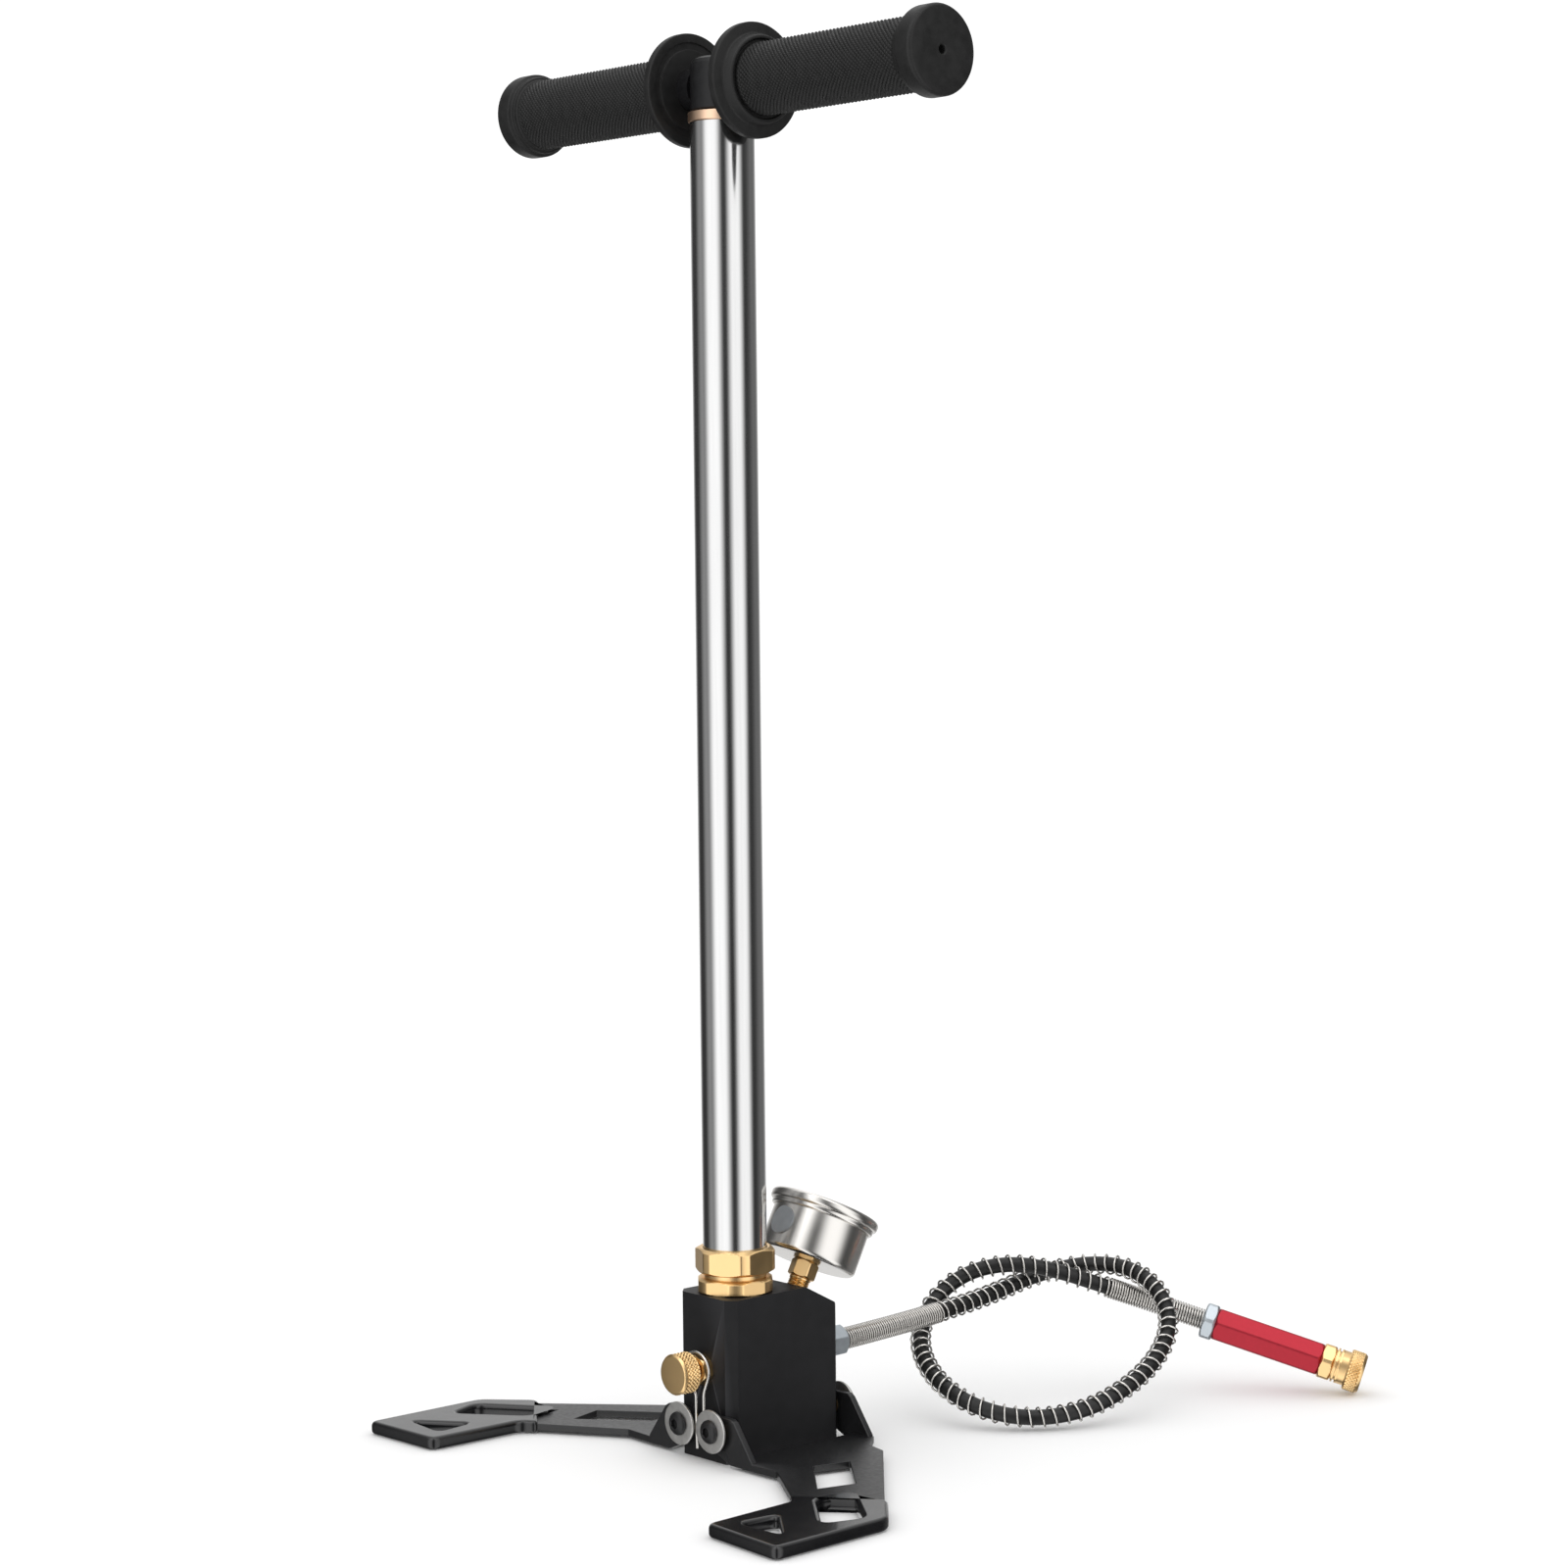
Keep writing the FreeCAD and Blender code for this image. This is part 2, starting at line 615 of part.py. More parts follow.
def build_foot_plate(name, side):
    low = dim("sheet_low")
    thick = dim("sheet_thickness")
    front = -dim("block_front") - dim("ear_gap") - thick
    rear = dim("block_rear") + dim("ear_gap") + thick
    body = new_body()
    outline = [(front, side * PLATE_INNER_EDGE), (front, side * EAR_FOOT)]
    outline += mirrored(PLATE_OUTLINE, side)
    outline += [(38.5, side * 44), (rear, side * EAR_FOOT), (rear, side * PLATE_INNER_EDGE)]
    pad(body, polygon(new_sketch(body, "XY_Plane", low), outline), thick)
    eye = dim("hinge_offset") * side
    height = dim("hinge_height")
    ear = [(eye, height - dim("eye_radius")), (side * 20, low), (side * EAR_FOOT, low),
           (side * (EAR_FOOT - 0.6), low + thick + 0.6), (side * 23, height + 5.4),
           (side * 21, height + dim("ear_rise")), (eye, height + dim("ear_rise"))]
    for start in (front, rear - thick):
        pad(body, polygon(new_sketch(body, "YZ_Plane", start), ear), thick)
        pad(body, circle(new_sketch(body, "YZ_Plane", start), eye, height,
                         dim("ear_rise")), thick)
    hole = dim("bush_od") / 2 + dim("fit_gap")
    pocket(body, circle(new_sketch(body, "YZ_Plane"), eye, height, hole), Size(150, "150"))
    windows = [LEG_WINDOW, grown(MIDDLE_WINDOW, DIMENSIONS["coat"]),
               grown(TOE_WINDOW, DIMENSIONS["coat"])]
    for window in windows:
        pocket(body, polygon(new_sketch(body, "XY_Plane"), mirrored(window, side)),
               Size(40, "40"))
    sub_part("foot_plate_" + name, body)
    return body


def build_foot_coat(name, side, plate):
    thick = dim("sheet_thickness") + dim("coat") * 2
    body = new_body()
    pad(body, polygon(new_sketch(body, "XY_Plane"), mirrored(COAT_OUTLINE, side)), thick)
    for window in (MIDDLE_WINDOW, TOE_WINDOW):
        pocket(body, polygon(new_sketch(body, "XY_Plane"), mirrored(window, side)),
               Size(40, "40"))
    sub_part("foot_coat_" + name, cut(body, plate))


# ---- bleed valve and clip -----------------------------------------------------------------

def build_bleed():
    front = -dim("block_front")
    port = dim("port_height")
    out = along((number_of(front), 0, number_of(port)), (-1, 0, 0))
    length = dim("bleed_hex_length")
    stem = dim("bleed_stem_od") / 2
    seat = stem + dim("fit_gap")
    collar = fuse(hexagon(dim("bleed_hex_flats"), length, out.multiply(place(angle=12))),
                  cylinder(dim("port_od") / 2, Size(10.4, "10.4"), out.multiply(place(z=-10.4))))
    bore = fuse(cylinder(seat, length + 9, out.multiply(place(z=-8))),
                cylinder(dim("passage_od") / 2, Size(6, "6"), out.multiply(place(z=-11))))
    sub_part("bleed_collar", cut(collar, bore))
    back = dim("knob_back") - dim("block_front")
    face = dim("knob_face") - dim("block_front")
    knob = dim("knob_od") / 2
    neck = dim("bleed_neck_od") / 2
    groove = stem - 1.1
    sub_part("bleed_screw", turned([
        (0, -7.6), (0.6, -7.6), (stem, -5.2), (stem, -3), (groove, -3), (groove, -1.2),
        (stem, -1.2), (stem, length + 0.4), (neck, length + 0.4), (neck, back),
        (knob - 0.8, back), (knob, back + 0.8), (knob, face - 1), (knob - 1, face),
        (0, face)], out))
    sub_part("bleed_o_ring", torus(stem - 0.55, Size(1.0, "1.0"), out.multiply(place(z=-2.1))))


def build_clip():
    """A hairpin of spring wire, hung over the bleed collar with its legs down."""
    plane = -DIMENSIONS["clip_plane"]
    port = DIMENSIONS["port_height"]
    loop = DIMENSIONS["clip_loop"]
    points = [(plane, 0.1, 5.6), (plane, 0.6, port - 9.5)]
    for angle in range(135, -136, -45):
        y = loop * math.sin(math.radians(angle))
        z = port + loop * math.cos(math.radians(angle))
        points.append((plane, y, z))
    points += [(plane, -4.6, port - 9.5), (plane, -4.6, 20)]
    sub_part("bleed_clip", raw(swept(rounded_path(points), dim("clip_wire") / 2)))


# ---- gauge -----------------------------------------------------------------------------------

def build_gauge():
    at = gauge_placement()
    low = dim("case_low")
    top = dim("case_top")
    case = dim("case_od") / 2
    wall = dim("case_wall")
    port = dim("port_od") / 2
    bezel = dim("bezel_od") / 2
    bezel_top = dim("bezel_top")
    stem_hex = common(
        hexagon(dim("stem_flats"), dim("stem_hex_top") - dim("stem_hex_low"),
                at.multiply(place(z=dim("stem_hex_low"), angle=8))),
        cylinder(dim("stem_flats") / 2 + 0.7, dim("stem_hex_top"), at))
    shank = turned([(1.2, -7.5), (port, -7.5), (port, dim("stem_hex_low") + 0.5),
                    (1.2, dim("stem_hex_low") + 0.5)], at)
    way = cylinder(Size(1.2, "1.2"), Size(40, "40"), at.multiply(place(z=-10)))
    sub_part("gauge_stem", fuse(cut(stem_hex, way), shank))
    sub_part("gauge_case", turned([
        (1.2, low), (case - 1.6, low), (case - 0.5, low + 0.5), (case, low + 1.6),
        (case, top), (case - wall, top), (case - wall, low + 1.8), (case - 1.8, low + wall),
        (1.2, low + wall)], at))
    lip = dim("lens_level")
    sub_part("gauge_bezel", turned([
        (case, top - 1.8), (bezel - 2, top - 1.8), (bezel - 1.4, top - 1.2),
        (bezel - 1.4, top + 0.2), (bezel - 0.4, top + 0.8), (bezel, top + 1.8),
        (bezel, bezel_top - 1.4), (bezel - 0.6, bezel_top - 0.4), (bezel - 1.8, bezel_top),
        (case - 1.8, lip + 1.8), (case - 1.8, lip + 1.5), (case, lip + 1.5)], at))
    sub_part("gauge_lens", ring(dim("case_od"), dim("case_od") * 0, lip, lip + 1.5, at))
    dial = dim("dial_level")
    sub_part("gauge_dial", ring(dim("case_od") - dim("case_wall") * 2, Size(3.2, "3.2"), dial,
                                dial + 0.5, at))
    build_movement(at, dial)
    build_plug(at)


def build_movement(at, dial):
    """The needle, its spindle housing and the bent pressure tube behind the dial."""
    low = dim("case_low") + dim("case_wall")
    sub_part("gauge_base", turned([
        (1.2, low), (5, low), (5, low + 2), (1.2, low + 2)], at))
    sub_part("gauge_spindle_housing", turned([
        (0, dial - 7), (4.5, dial - 7), (4.5, dial - 1.4), (1.5, dial - 1.4),
        (1.5, dial + 0.8), (0.65, dial + 0.8), (0.65, dial - 4), (0, dial - 4)], at))
    needle_low = dim("needle_level")
    body = new_body(at)
    shaft = circle(new_sketch(body, "XY_Plane", dial - 3.5), 0.0, 0.0, 0.6)
    pad(body, shaft, needle_low - dial + 4)
    pad(body, circle(new_sketch(body, "XY_Plane", needle_low), 0.0, 0.0, 2.2), Size(0.9, "0.9"))
    blade = polygon(new_sketch(body, "XY_Plane", needle_low),
                    [(-5, 5.9), (-5.9, 5), (10.9, -11.4), (11.4, -10.9)])
    pad(body, blade, Size(0.5, "0.5"))
    sub_part("gauge_needle", body)
    centre = at.multiply(place(z=low + 8))
    arc = [(14 * math.cos(math.radians(a)), 14 * math.sin(math.radians(a)), 0)
           for a in range(-60, 211, 30)]
    path = rounded_path([(3, -3, -5.95), (3, -3, -3.5), (6.4, -10.5, -0.5)] + arc)
    sub_part("bourdon_tube", raw(swept(path, 1.1), centre))


def build_plug(at):
    """The rubber blow-out plug in the case's wall, on the side towards the barrel."""
    middle = (dim("case_low") + dim("case_top")) / 2 + 1
    case = dim("case_od") / 2
    side = at.multiply(place(x=-case + 2.4, z=middle, axis=(0, 1, 0), angle=-90))
    disc = cylinder(dim("plug_od") / 2, Size(4.2, "4.2"), side)
    skin = cylinder(case + 0.9, Size(20, "20"), at.multiply(place(z=middle - 10)))
    shell = cylinder(case, Size(20, "20"), at.multiply(place(z=middle - 10)))
    sub_part("gauge_vent_plug", cut(common(disc, skin), shell))


# ---- outlet, hose and coupler ---------------------------------------------------------------

def hose_end():
    """Where the hose meets its end nut, and the direction of the rigid end from there."""
    last = FreeCAD.Vector(*HOSE_ROUTE[-1])
    heading = last - FreeCAD.Vector(*HOSE_ROUTE[-2])
    heading.normalize()
    return last, heading


def build_outlet():
    rear = dim("block_rear")
    port = dim("port_height")
    at = along((number_of(rear), 0, number_of(port)), (1, 0, 0))
    length = dim("fitting_end") - rear
    bore = dim("hose_id") / 2
    body = fuse(hexagon(dim("fitting_flats"), length, at.multiply(place(angle=10))),
                cylinder(dim("port_od") / 2, Size(12, "12"), at.multiply(place(z=-12))))
    way = cylinder(bore, Size(40, "40"), at.multiply(place(z=-14)))
    sub_part("outlet_fitting", cut(body, way))


def build_hose():
    corners = []
    path = rounded_path(HOSE_ROUTE, report=corners)
    for turn, radius in corners:
        print("hose corner: turn %5.1f deg, radius %6.1f mm" % (turn, radius))
    hose = swept(path, dim("hose_od") / 2)
    expected = math.pi * (DIMENSIONS["hose_od"] / 2) ** 2 * path.Length
    print("hose length %.1f mm, volume ratio %.4f" % (path.Length, hose.Volume / expected))
    sub_part("hose", raw(hose))
    guard = swept(path, dim("guard_od") / 2).cut(swept(path, dim("guard_id") / 2))
    sub_part("hose_spring_guard", raw(guard))


def build_coupler():
    start, heading = hose_end()
    at = along(tuple(start), tuple(heading))
    nut_end = dim("end_nut_length")
    filter_end = nut_end + dim("filter_length")
    bore = Size(1.5, "1.5")
    nut = common(hexagon(dim("end_nut_flats"), nut_end, at.multiply(place(angle=20))),
                 cylinder(dim("end_nut_flats") / 2 + 0.9, nut_end, at))
    sub_part("hose_end_nut", cut(nut, cylinder(bore, nut_end, at)))
    body = hexagon(dim("filter_flats"), dim("filter_length"), at.multiply(place(z=nut_end, angle=20)))
    inside = turned([
        (0, nut_end - 1), (1.5, nut_end - 1), (1.5, nut_end + 6), (4.5, nut_end + 6),
        (4.5, filter_end - 8), (1.5, filter_end - 8), (1.5, filter_end + 1),
        (0, filter_end + 1)], at)
    sub_part("filter_body", cut(body, inside))
    sub_part("filter_element", ring(Size(9, "9"), Size(3.4, "3.4"), nut_end + 6.0,
                                    filter_end - 8.0, at))
    build_quick_coupler(at, filter_end)


def build_quick_coupler(at, low):
    """The female quick coupler: hex, grooved neck, ball lock and sliding sleeve."""
    hex_end = low + dim("coupler_hex_length")
    tip = low + dim("coupler_length")
    sleeve_low = tip - dim("sleeve_length")
    neck = dim("coupler_neck_od") / 2
    raised = dim("coupler_ring_od") / 2
    probe = dim("probe_od") / 2
    floor_of_bore = tip - dim("probe_depth")
    hexagonal = common(
        hexagon(dim("coupler_hex_flats"), dim("coupler_hex_length"),
                at.multiply(place(z=low, angle=20))),
        cylinder(dim("coupler_hex_flats") / 2 + 0.8, dim("coupler_hex_length"),
                 at.multiply(place(z=low))))
    ring_low = hex_end + 0.6
    core = turned([
        (0, hex_end - 0.5), (neck, hex_end - 0.5), (neck, ring_low), (raised, ring_low),
        (raised, ring_low + 0.9), (neck, ring_low + 0.9), (neck, ring_low + 1.9),
        (raised, ring_low + 1.9), (raised, ring_low + 2.8), (neck, ring_low + 2.8),
        (neck, tip - 0.4), (0, tip - 0.4)], at)
    bore = turned([
        (0, low - 1), (1.5, low - 1), (1.5, floor_of_bore), (probe, floor_of_bore),
        (probe, tip - 10), (probe + 1, tip - 10), (probe + 1, tip - 8), (probe, tip - 8),
        (probe, tip + 1), (0, tip + 1)], at)
    seats = []
    balls = []
    count = 6
    ball_level = tip - 3.2
    for i in range(count):
        ray = at.multiply(place(z=ball_level, angle=360.0 / count * i))
        radial = ray.multiply(place(x=probe - 1, axis=(0, 1, 0), angle=90))
        seats.append(cylinder(Size(1.25, "1.25"), Size(5, "5"), radial))
        ball = doc.addObject("Part::Sphere", "Sphere")
        bind(ball, Radius=1.2)
        ball.Placement = ray.multiply(place(x=probe + 1.65))
        balls.append(ball)
    sub_part("coupler_body", cut(cut(fuse(hexagonal, core), bore), fuse(*seats)))
    sub_part("coupler_balls", group(balls))
    sub_part("coupler_o_ring", torus(probe + 0.52, Size(0.95, "0.95"),
                                     at.multiply(place(z=tip - 9))))
    outer = dim("sleeve_od") / 2
    inner = neck + dim("fit_gap")
    sub_part("coupler_sleeve", turned([
        (inner, sleeve_low + 3.4), (raised - 0.3, sleeve_low + 3.4), (raised - 0.3, sleeve_low),
        (outer - 0.5, sleeve_low), (outer, sleeve_low + 0.5), (outer, tip - 0.8),
        (outer - 0.8, tip), (inner, tip)], at))
    sub_part("coupler_spring", ring(dim("coupler_ring_od") - 1.0, dim("coupler_neck_od") + 0.3,
                                    ring_low + 2.85, sleeve_low + 3.35, at))


# ---- outlet check valve inside the block -------------------------------------------------

def build_check_valve():
    """A sprung ball under the union's passage lets air down and not back up."""
    seat = dim("union_low")
    floor = dim("port_height") + 2
    ball = doc.addObject("Part::Sphere", "Sphere")
    bind(ball, Radius=2.5)
    ball.Placement = place(z=seat - 1.55)
    sub_part("check_ball", ball)
    height = seat - 4.6 - floor
    sub_part("check_spring", coil(Size(1.9, "1.9"), Size(0.5, "0.5"), Size(1.0, "1.0"),
                                  height, place(z=floor + 0.3)))


build_barrel()
build_union()
build_inner_tube()
build_plunger()
build_handle()
build_block()
build_hinges()
for side_name, side_sign in (("left", 1), ("right", -1)):
    steel = build_foot_plate(side_name, side_sign)
    build_foot_coat(side_name, side_sign, steel)
build_bleed()
build_clip()
build_gauge()
build_outlet()
build_hose()
build_coupler()
build_check_valve()

doc.recompute()
for thing in doc.Objects:
    if "Invalid" in thing.State or "Error" in thing.State:
        raise RuntimeError("%s (%s) failed: %s" % (thing.Label, thing.Name, thing.State))
os.makedirs("parts", exist_ok=True)
for label, thing in sub_parts.items():
    shape = thing.Shape
    if shape.isNull() or not shape.isValid():
        raise RuntimeError("%s has no valid shape" % label)
    print("%-24s solids %d volume %10.1f" % (label, len(shape.Solids), shape.Volume))
for label, thing in sub_parts.items():
    thing.Shape.exportStep("parts/%s.step" % label)
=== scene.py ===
import json
import math

import bpy
from mathutils import Matrix, Vector


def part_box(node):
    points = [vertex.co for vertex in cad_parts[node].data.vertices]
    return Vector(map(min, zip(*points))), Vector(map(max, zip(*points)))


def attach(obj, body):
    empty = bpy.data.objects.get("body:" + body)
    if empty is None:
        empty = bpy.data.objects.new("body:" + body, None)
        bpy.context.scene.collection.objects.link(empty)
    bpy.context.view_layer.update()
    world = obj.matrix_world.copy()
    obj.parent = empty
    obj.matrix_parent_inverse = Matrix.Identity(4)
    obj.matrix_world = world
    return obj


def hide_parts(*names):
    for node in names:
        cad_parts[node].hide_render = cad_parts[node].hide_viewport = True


# Looks for the stirrup pump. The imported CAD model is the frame: +Z up the barrel,
# +X to the rear, +Y to the left foot. Sizes are in millimetres unless a name says
# metres, and MM turns them into Blender's metres.
MM = 0.001

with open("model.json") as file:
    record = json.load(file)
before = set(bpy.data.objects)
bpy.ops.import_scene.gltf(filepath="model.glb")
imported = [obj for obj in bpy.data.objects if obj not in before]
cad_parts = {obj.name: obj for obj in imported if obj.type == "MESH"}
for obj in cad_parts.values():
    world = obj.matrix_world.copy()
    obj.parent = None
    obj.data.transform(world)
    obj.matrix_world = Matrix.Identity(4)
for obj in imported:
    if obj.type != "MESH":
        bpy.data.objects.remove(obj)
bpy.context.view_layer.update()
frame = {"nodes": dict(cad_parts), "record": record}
slot_of = {row["node"]: row["material_slot"] for row in frame["record"]["subparts"]}


# ---- camera --------------------------------------------------------------------------

CAMERA_AZIMUTH = 40.7      # degrees from the pump's front towards its right foot
CAMERA_DISTANCE = 1505.0
CAMERA_HEIGHT = 392.4
CAMERA_PITCH = 3.74
CAMERA_YAW = 0.90
CAMERA_ROLL = -0.60
LENS = 79.7


def build_camera():
    """Stands in front of the pump, to its right, and looks a little down past it."""
    azimuth = math.radians(CAMERA_AZIMUTH)
    data = bpy.data.cameras.new("camera")
    data.lens = LENS
    data.sensor_width = 36.0
    data.clip_end = 100.0
    camera = bpy.data.objects.new("camera", data)
    bpy.context.collection.objects.link(camera)
    place = Vector((-math.sin(azimuth), -math.cos(azimuth), 0.0)) * CAMERA_DISTANCE
    place.z = CAMERA_HEIGHT
    heading = Matrix.Rotation(-azimuth - math.radians(CAMERA_YAW), 4, "Z")
    tilt = Matrix.Rotation(math.radians(90.0 - CAMERA_PITCH), 4, "X")
    roll = Matrix.Rotation(math.radians(CAMERA_ROLL), 4, "Z")
    camera.matrix_world = Matrix.Translation(place * MM) @ heading @ tilt @ roll
    bpy.context.scene.camera = camera


# ---- the hose and its spring ------------------------------------------------------------

HOSE_ROUTE = [
    (0.063, 0, 0.040), (0.092, 0, 0.041), (0.121, -0.001, 0.043), (0.155, -0.001, 0.046),
    (0.184, -0.002, 0.0515), (0.206, -0.014, 0.0565), (0.214, -0.036, 0.057),
    (0.2115, -0.0575, 0.0495), (0.204, -0.072, 0.0375), (0.188, -0.079, 0.025),
    (0.165, -0.081, 0.0147), (0.141, -0.077, 0.0075), (0.120, -0.066, 0.0052),
    (0.106, -0.049, 0.008), (0.101, -0.028, 0.015), (0.1075, -0.006, 0.024),
    (0.1205, 0.0095, 0.034), (0.1365, 0.014, 0.0475), (0.1525, 0.0075, 0.0575),
    (0.169, -0.0055, 0.0605), (0.185, -0.018, 0.056), (0.200, -0.0275, 0.0495),
    (0.220, -0.043, 0.0405), (0.235, -0.064, 0.0325),
]
HOSE_DIAMETER = 7.0
GUARD_RADIUS = 4.5
GUARD_WIRE = 1.0
OPEN_PITCH = 5.4
CLOSE_PITCH = 1.3
FIRST_RELIEF = 58.0
LAST_RELIEF = 46.0
PITCH_CHANGE = 6.0


def route_curve(name):
    data = bpy.data.curves.new(name, "CURVE")
    data.dimensions = "3D"
    data.resolution_u = 12
    spline = data.splines.new("NURBS")
    spline.points.add(len(HOSE_ROUTE) - 1)
    for point, place in zip(spline.points, HOSE_ROUTE):
        point.co = (*place, 1.0)
        point.radius = HOSE_DIAMETER / 2 * MM
    spline.order_u = 3
    spline.use_endpoint_u = True
    curve = bpy.data.objects.new(name, data)
    bpy.context.collection.objects.link(curve)
    return curve


def line_of(curve):
    """The points that Blender draws along a curve with no bevel."""
    mesh = bpy.data.meshes.new_from_object(curve)
    points = [v.co.copy() for v in mesh.vertices]
    bpy.data.meshes.remove(mesh)
    return points


def wound_wire(line, radius, pitch_at, steps=14):
    """A wire wound round a line. pitch_at gives the lead at a distance along the line."""
    lengths = [0.0]
    for a, b in zip(line, line[1:]):
        lengths.append(lengths[-1] + (b - a).length)
    total = lengths[-1]
    heading = (line[1] - line[0]).normalized()
    side = heading.orthogonal().normalized()
    wire = []
    turn = 0.0
    place = 0.0
    i = 0
    while place < total:
        while lengths[i + 1] < place:
            i += 1
        ahead = (line[i + 1] - line[i]).normalized()
        side = (heading.rotation_difference(ahead) @ side).normalized()
        heading = ahead
        share = (place - lengths[i]) / (lengths[i + 1] - lengths[i])
        middle = line[i].lerp(line[i + 1], share)
        up = heading.cross(side)
        wire.append(middle + (side * math.cos(turn) + up * math.sin(turn)) * radius)
        turn += 2 * math.pi / steps
        place += pitch_at(place, total) / steps
    return wire


def wire_piece(name, points, radius, body, nodes=()):
    """A round wire through many points. Each point's radius is the wire's own."""
    data = bpy.data.curves.new(name, "CURVE")
    data.dimensions = "3D"
    data.bevel_depth = 1.0
    data.bevel_resolution = 2
    data.use_fill_caps = True
    spline = data.splines.new("POLY")
    spline.points.add(len(points) - 1)
    for point, place in zip(spline.points, points):
        point.co = (*place, 1.0)
        point.radius = radius
    piece = bpy.data.objects.new(name, data)
    bpy.context.collection.objects.link(piece)
    return finish_piece(piece, body, nodes)


def guard_pitch(place, total):
    """Wound close over the two strain reliefs and open between them."""
    from_start = place / MM - FIRST_RELIEF
    from_end = (total - place) / MM - LAST_RELIEF
    opening = min(max(min(from_start, from_end) / PITCH_CHANGE, 0.0), 1.0)
    return (CLOSE_PITCH + (OPEN_PITCH - CLOSE_PITCH) * opening) * MM


def build_hose():
    hose = route_curve("pump_hose")
    line = line_of(hose)
    hose.data.bevel_depth = 1.0
    hose.data.bevel_resolution = 5
    hose.data.use_fill_caps = True
    finish_piece(hose, "pump", ["hose"])
    guard = wire_piece("hose_spring", wound_wire(line, GUARD_RADIUS * MM, guard_pitch),
                       GUARD_WIRE / 2 * MM, "pump", ["hose_spring_guard"])
    return hose, guard


# ---- making pieces ---------------------------------------------------------------------

pieces_by_slot = []


def finish_piece(piece, body, nodes=(), slot=None):
    """Gives a piece its body, the CAD nodes it stands for and its material slot."""
    if nodes:
        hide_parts(*nodes)
    name = slot or slot_of[nodes[0]]
    pieces_by_slot.append((piece, name))
    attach(piece, body)
    return piece


def mesh_piece(name, points, faces, body, nodes=(), slot=None, crease=30.0, place=None):
    mesh = bpy.data.meshes.new(name)
    mesh.from_pydata([Vector(p) * MM for p in points], [], faces)
    if place is not None:
        mesh.transform(place)
    mesh.update()
    mesh.shade_smooth()
    mesh.set_sharp_from_angle(angle=math.radians(crease))
    piece = bpy.data.objects.new(name, mesh)
    bpy.context.collection.objects.link(piece)
    return finish_piece(piece, body, nodes, slot)


def standing(x, y, z, direction=(0, 0, 1)):
    """Puts a piece made along +Z at a point, with its axis along a direction."""
    turn = Vector((0, 0, 1)).rotation_difference(Vector(direction))
    return Matrix.Translation(Vector((x, y, z)) * MM) @ turn.to_matrix().to_4x4()


def eased(profile, radius, closed=True, steps=4):
    """The same outline with its corners rounded."""
    count = len(profile)
    rounded = []
    for i, corner in enumerate(profile):
        if not closed and i in (0, count - 1):
            rounded.append(tuple(corner))
            continue
        here = Vector(corner)
        back = Vector(profile[i - 1]) - here
        ahead = Vector(profile[(i + 1) % count]) - here
        reach = min(radius, back.length * 0.42, ahead.length * 0.42)
        start = here + back.normalized() * reach
        end = here + ahead.normalized() * reach
        for k in range(steps + 1):
            t = k / steps
            blend = start * (1 - t) ** 2 + here * 2 * t * (1 - t) + end * t ** 2
            rounded.append(tuple(blend))
    return rounded


def stepped(profile, step, closed=True):
    """The same outline with its long sides divided."""
    count = len(profile)
    fine = []
    for i in range(count if closed else count - 1):
        start = Vector(profile[i])
        end = Vector(profile[(i + 1) % count])
        parts = max(1, math.ceil((end - start).length / step))
        fine += [tuple(start.lerp(end, k / parts)) for k in range(parts)]
    if not closed:
        fine.append(tuple(profile[-1]))
    return fine


def lathe(name, profile, body, nodes=(), slot=None, place=None, sides=96, shape=None,
          first_angle=0.0, closed=True, crease=30.0):
    """Turns a (radius, height) outline. shape may change a point's radius."""
    points = []
    for radius, height in profile:
        for k in range(sides):
            angle = math.radians(first_angle) + 2 * math.pi * k / sides
            reach = shape(angle, height, radius) if shape else radius
            points.append((reach * math.cos(angle), reach * math.sin(angle), height))
    faces = []
    rings = len(profile)
    for i in range(rings if closed else rings - 1):
        following = (i + 1) % rings
        for k in range(sides):
            beside = (k + 1) % sides
            faces.append((i * sides + k, i * sides + beside,
                          following * sides + beside, following * sides + k))
    if not closed:
        faces.append(tuple(reversed(range(sides))))
        faces.append(tuple(range((rings - 1) * sides, rings * sides)))
    return mesh_piece(name, points, faces, body, nodes, slot, crease, place)


def hexagonal(flats, first_angle, corner_round=0.15):
    """Limits a turned shape to a hexagon bar, with its first corner at an angle."""
    start = math.radians(first_angle)
    sixth = math.pi / 3
    corner = flats / math.sqrt(3) - corner_round

    def shape(angle, height, radius):
        across = (angle - start) % sixth - sixth / 2
        return min(radius, corner, flats / 2 / math.cos(across))
    return shape


def diamond_knurl(count, lead, depth, low, high):
    """Raises small pyramids between two heights: count round, lead apart along."""

    def shape(angle, height, radius):
        if not low < height < high:
            return radius
        across = count * angle / (2 * math.pi)
        first = abs((across + height / lead) % 1.0 - 0.5) * 2
        second = abs((across - height / lead) % 1.0 - 0.5) * 2
        ease = min(1.0, (height - low) / 0.4, (high - height) / 0.4)
        return radius - depth * ease * (1.0 - min(1.0, 1.5 * min(1 - first, 1 - second)))
    return shape


def threaded(pitch, depth, low, high):
    """Cuts a screw thread between two heights."""

    def shape(angle, height, radius):
        if not low < height < high:
            return radius
        wave = abs((height / pitch - angle / (2 * math.pi)) % 1.0 - 0.5) * 2
        return radius - depth * wave
    return shape


def hexagon_piece(name, profile, flats, first_angle, node, place=None, step=0.4, sides=180,
                  corner_round=0.15):
    """A turned piece of the pump cut from hexagon bar, with its first corner at an angle."""
    return lathe(name, stepped(eased(profile, 0.15), step), "pump", [node], place=place,
                 sides=sides, shape=hexagonal(flats, first_angle, corner_round),
                 first_angle=first_angle, crease=24)


# ---- handle ----------------------------------------------------------------------------

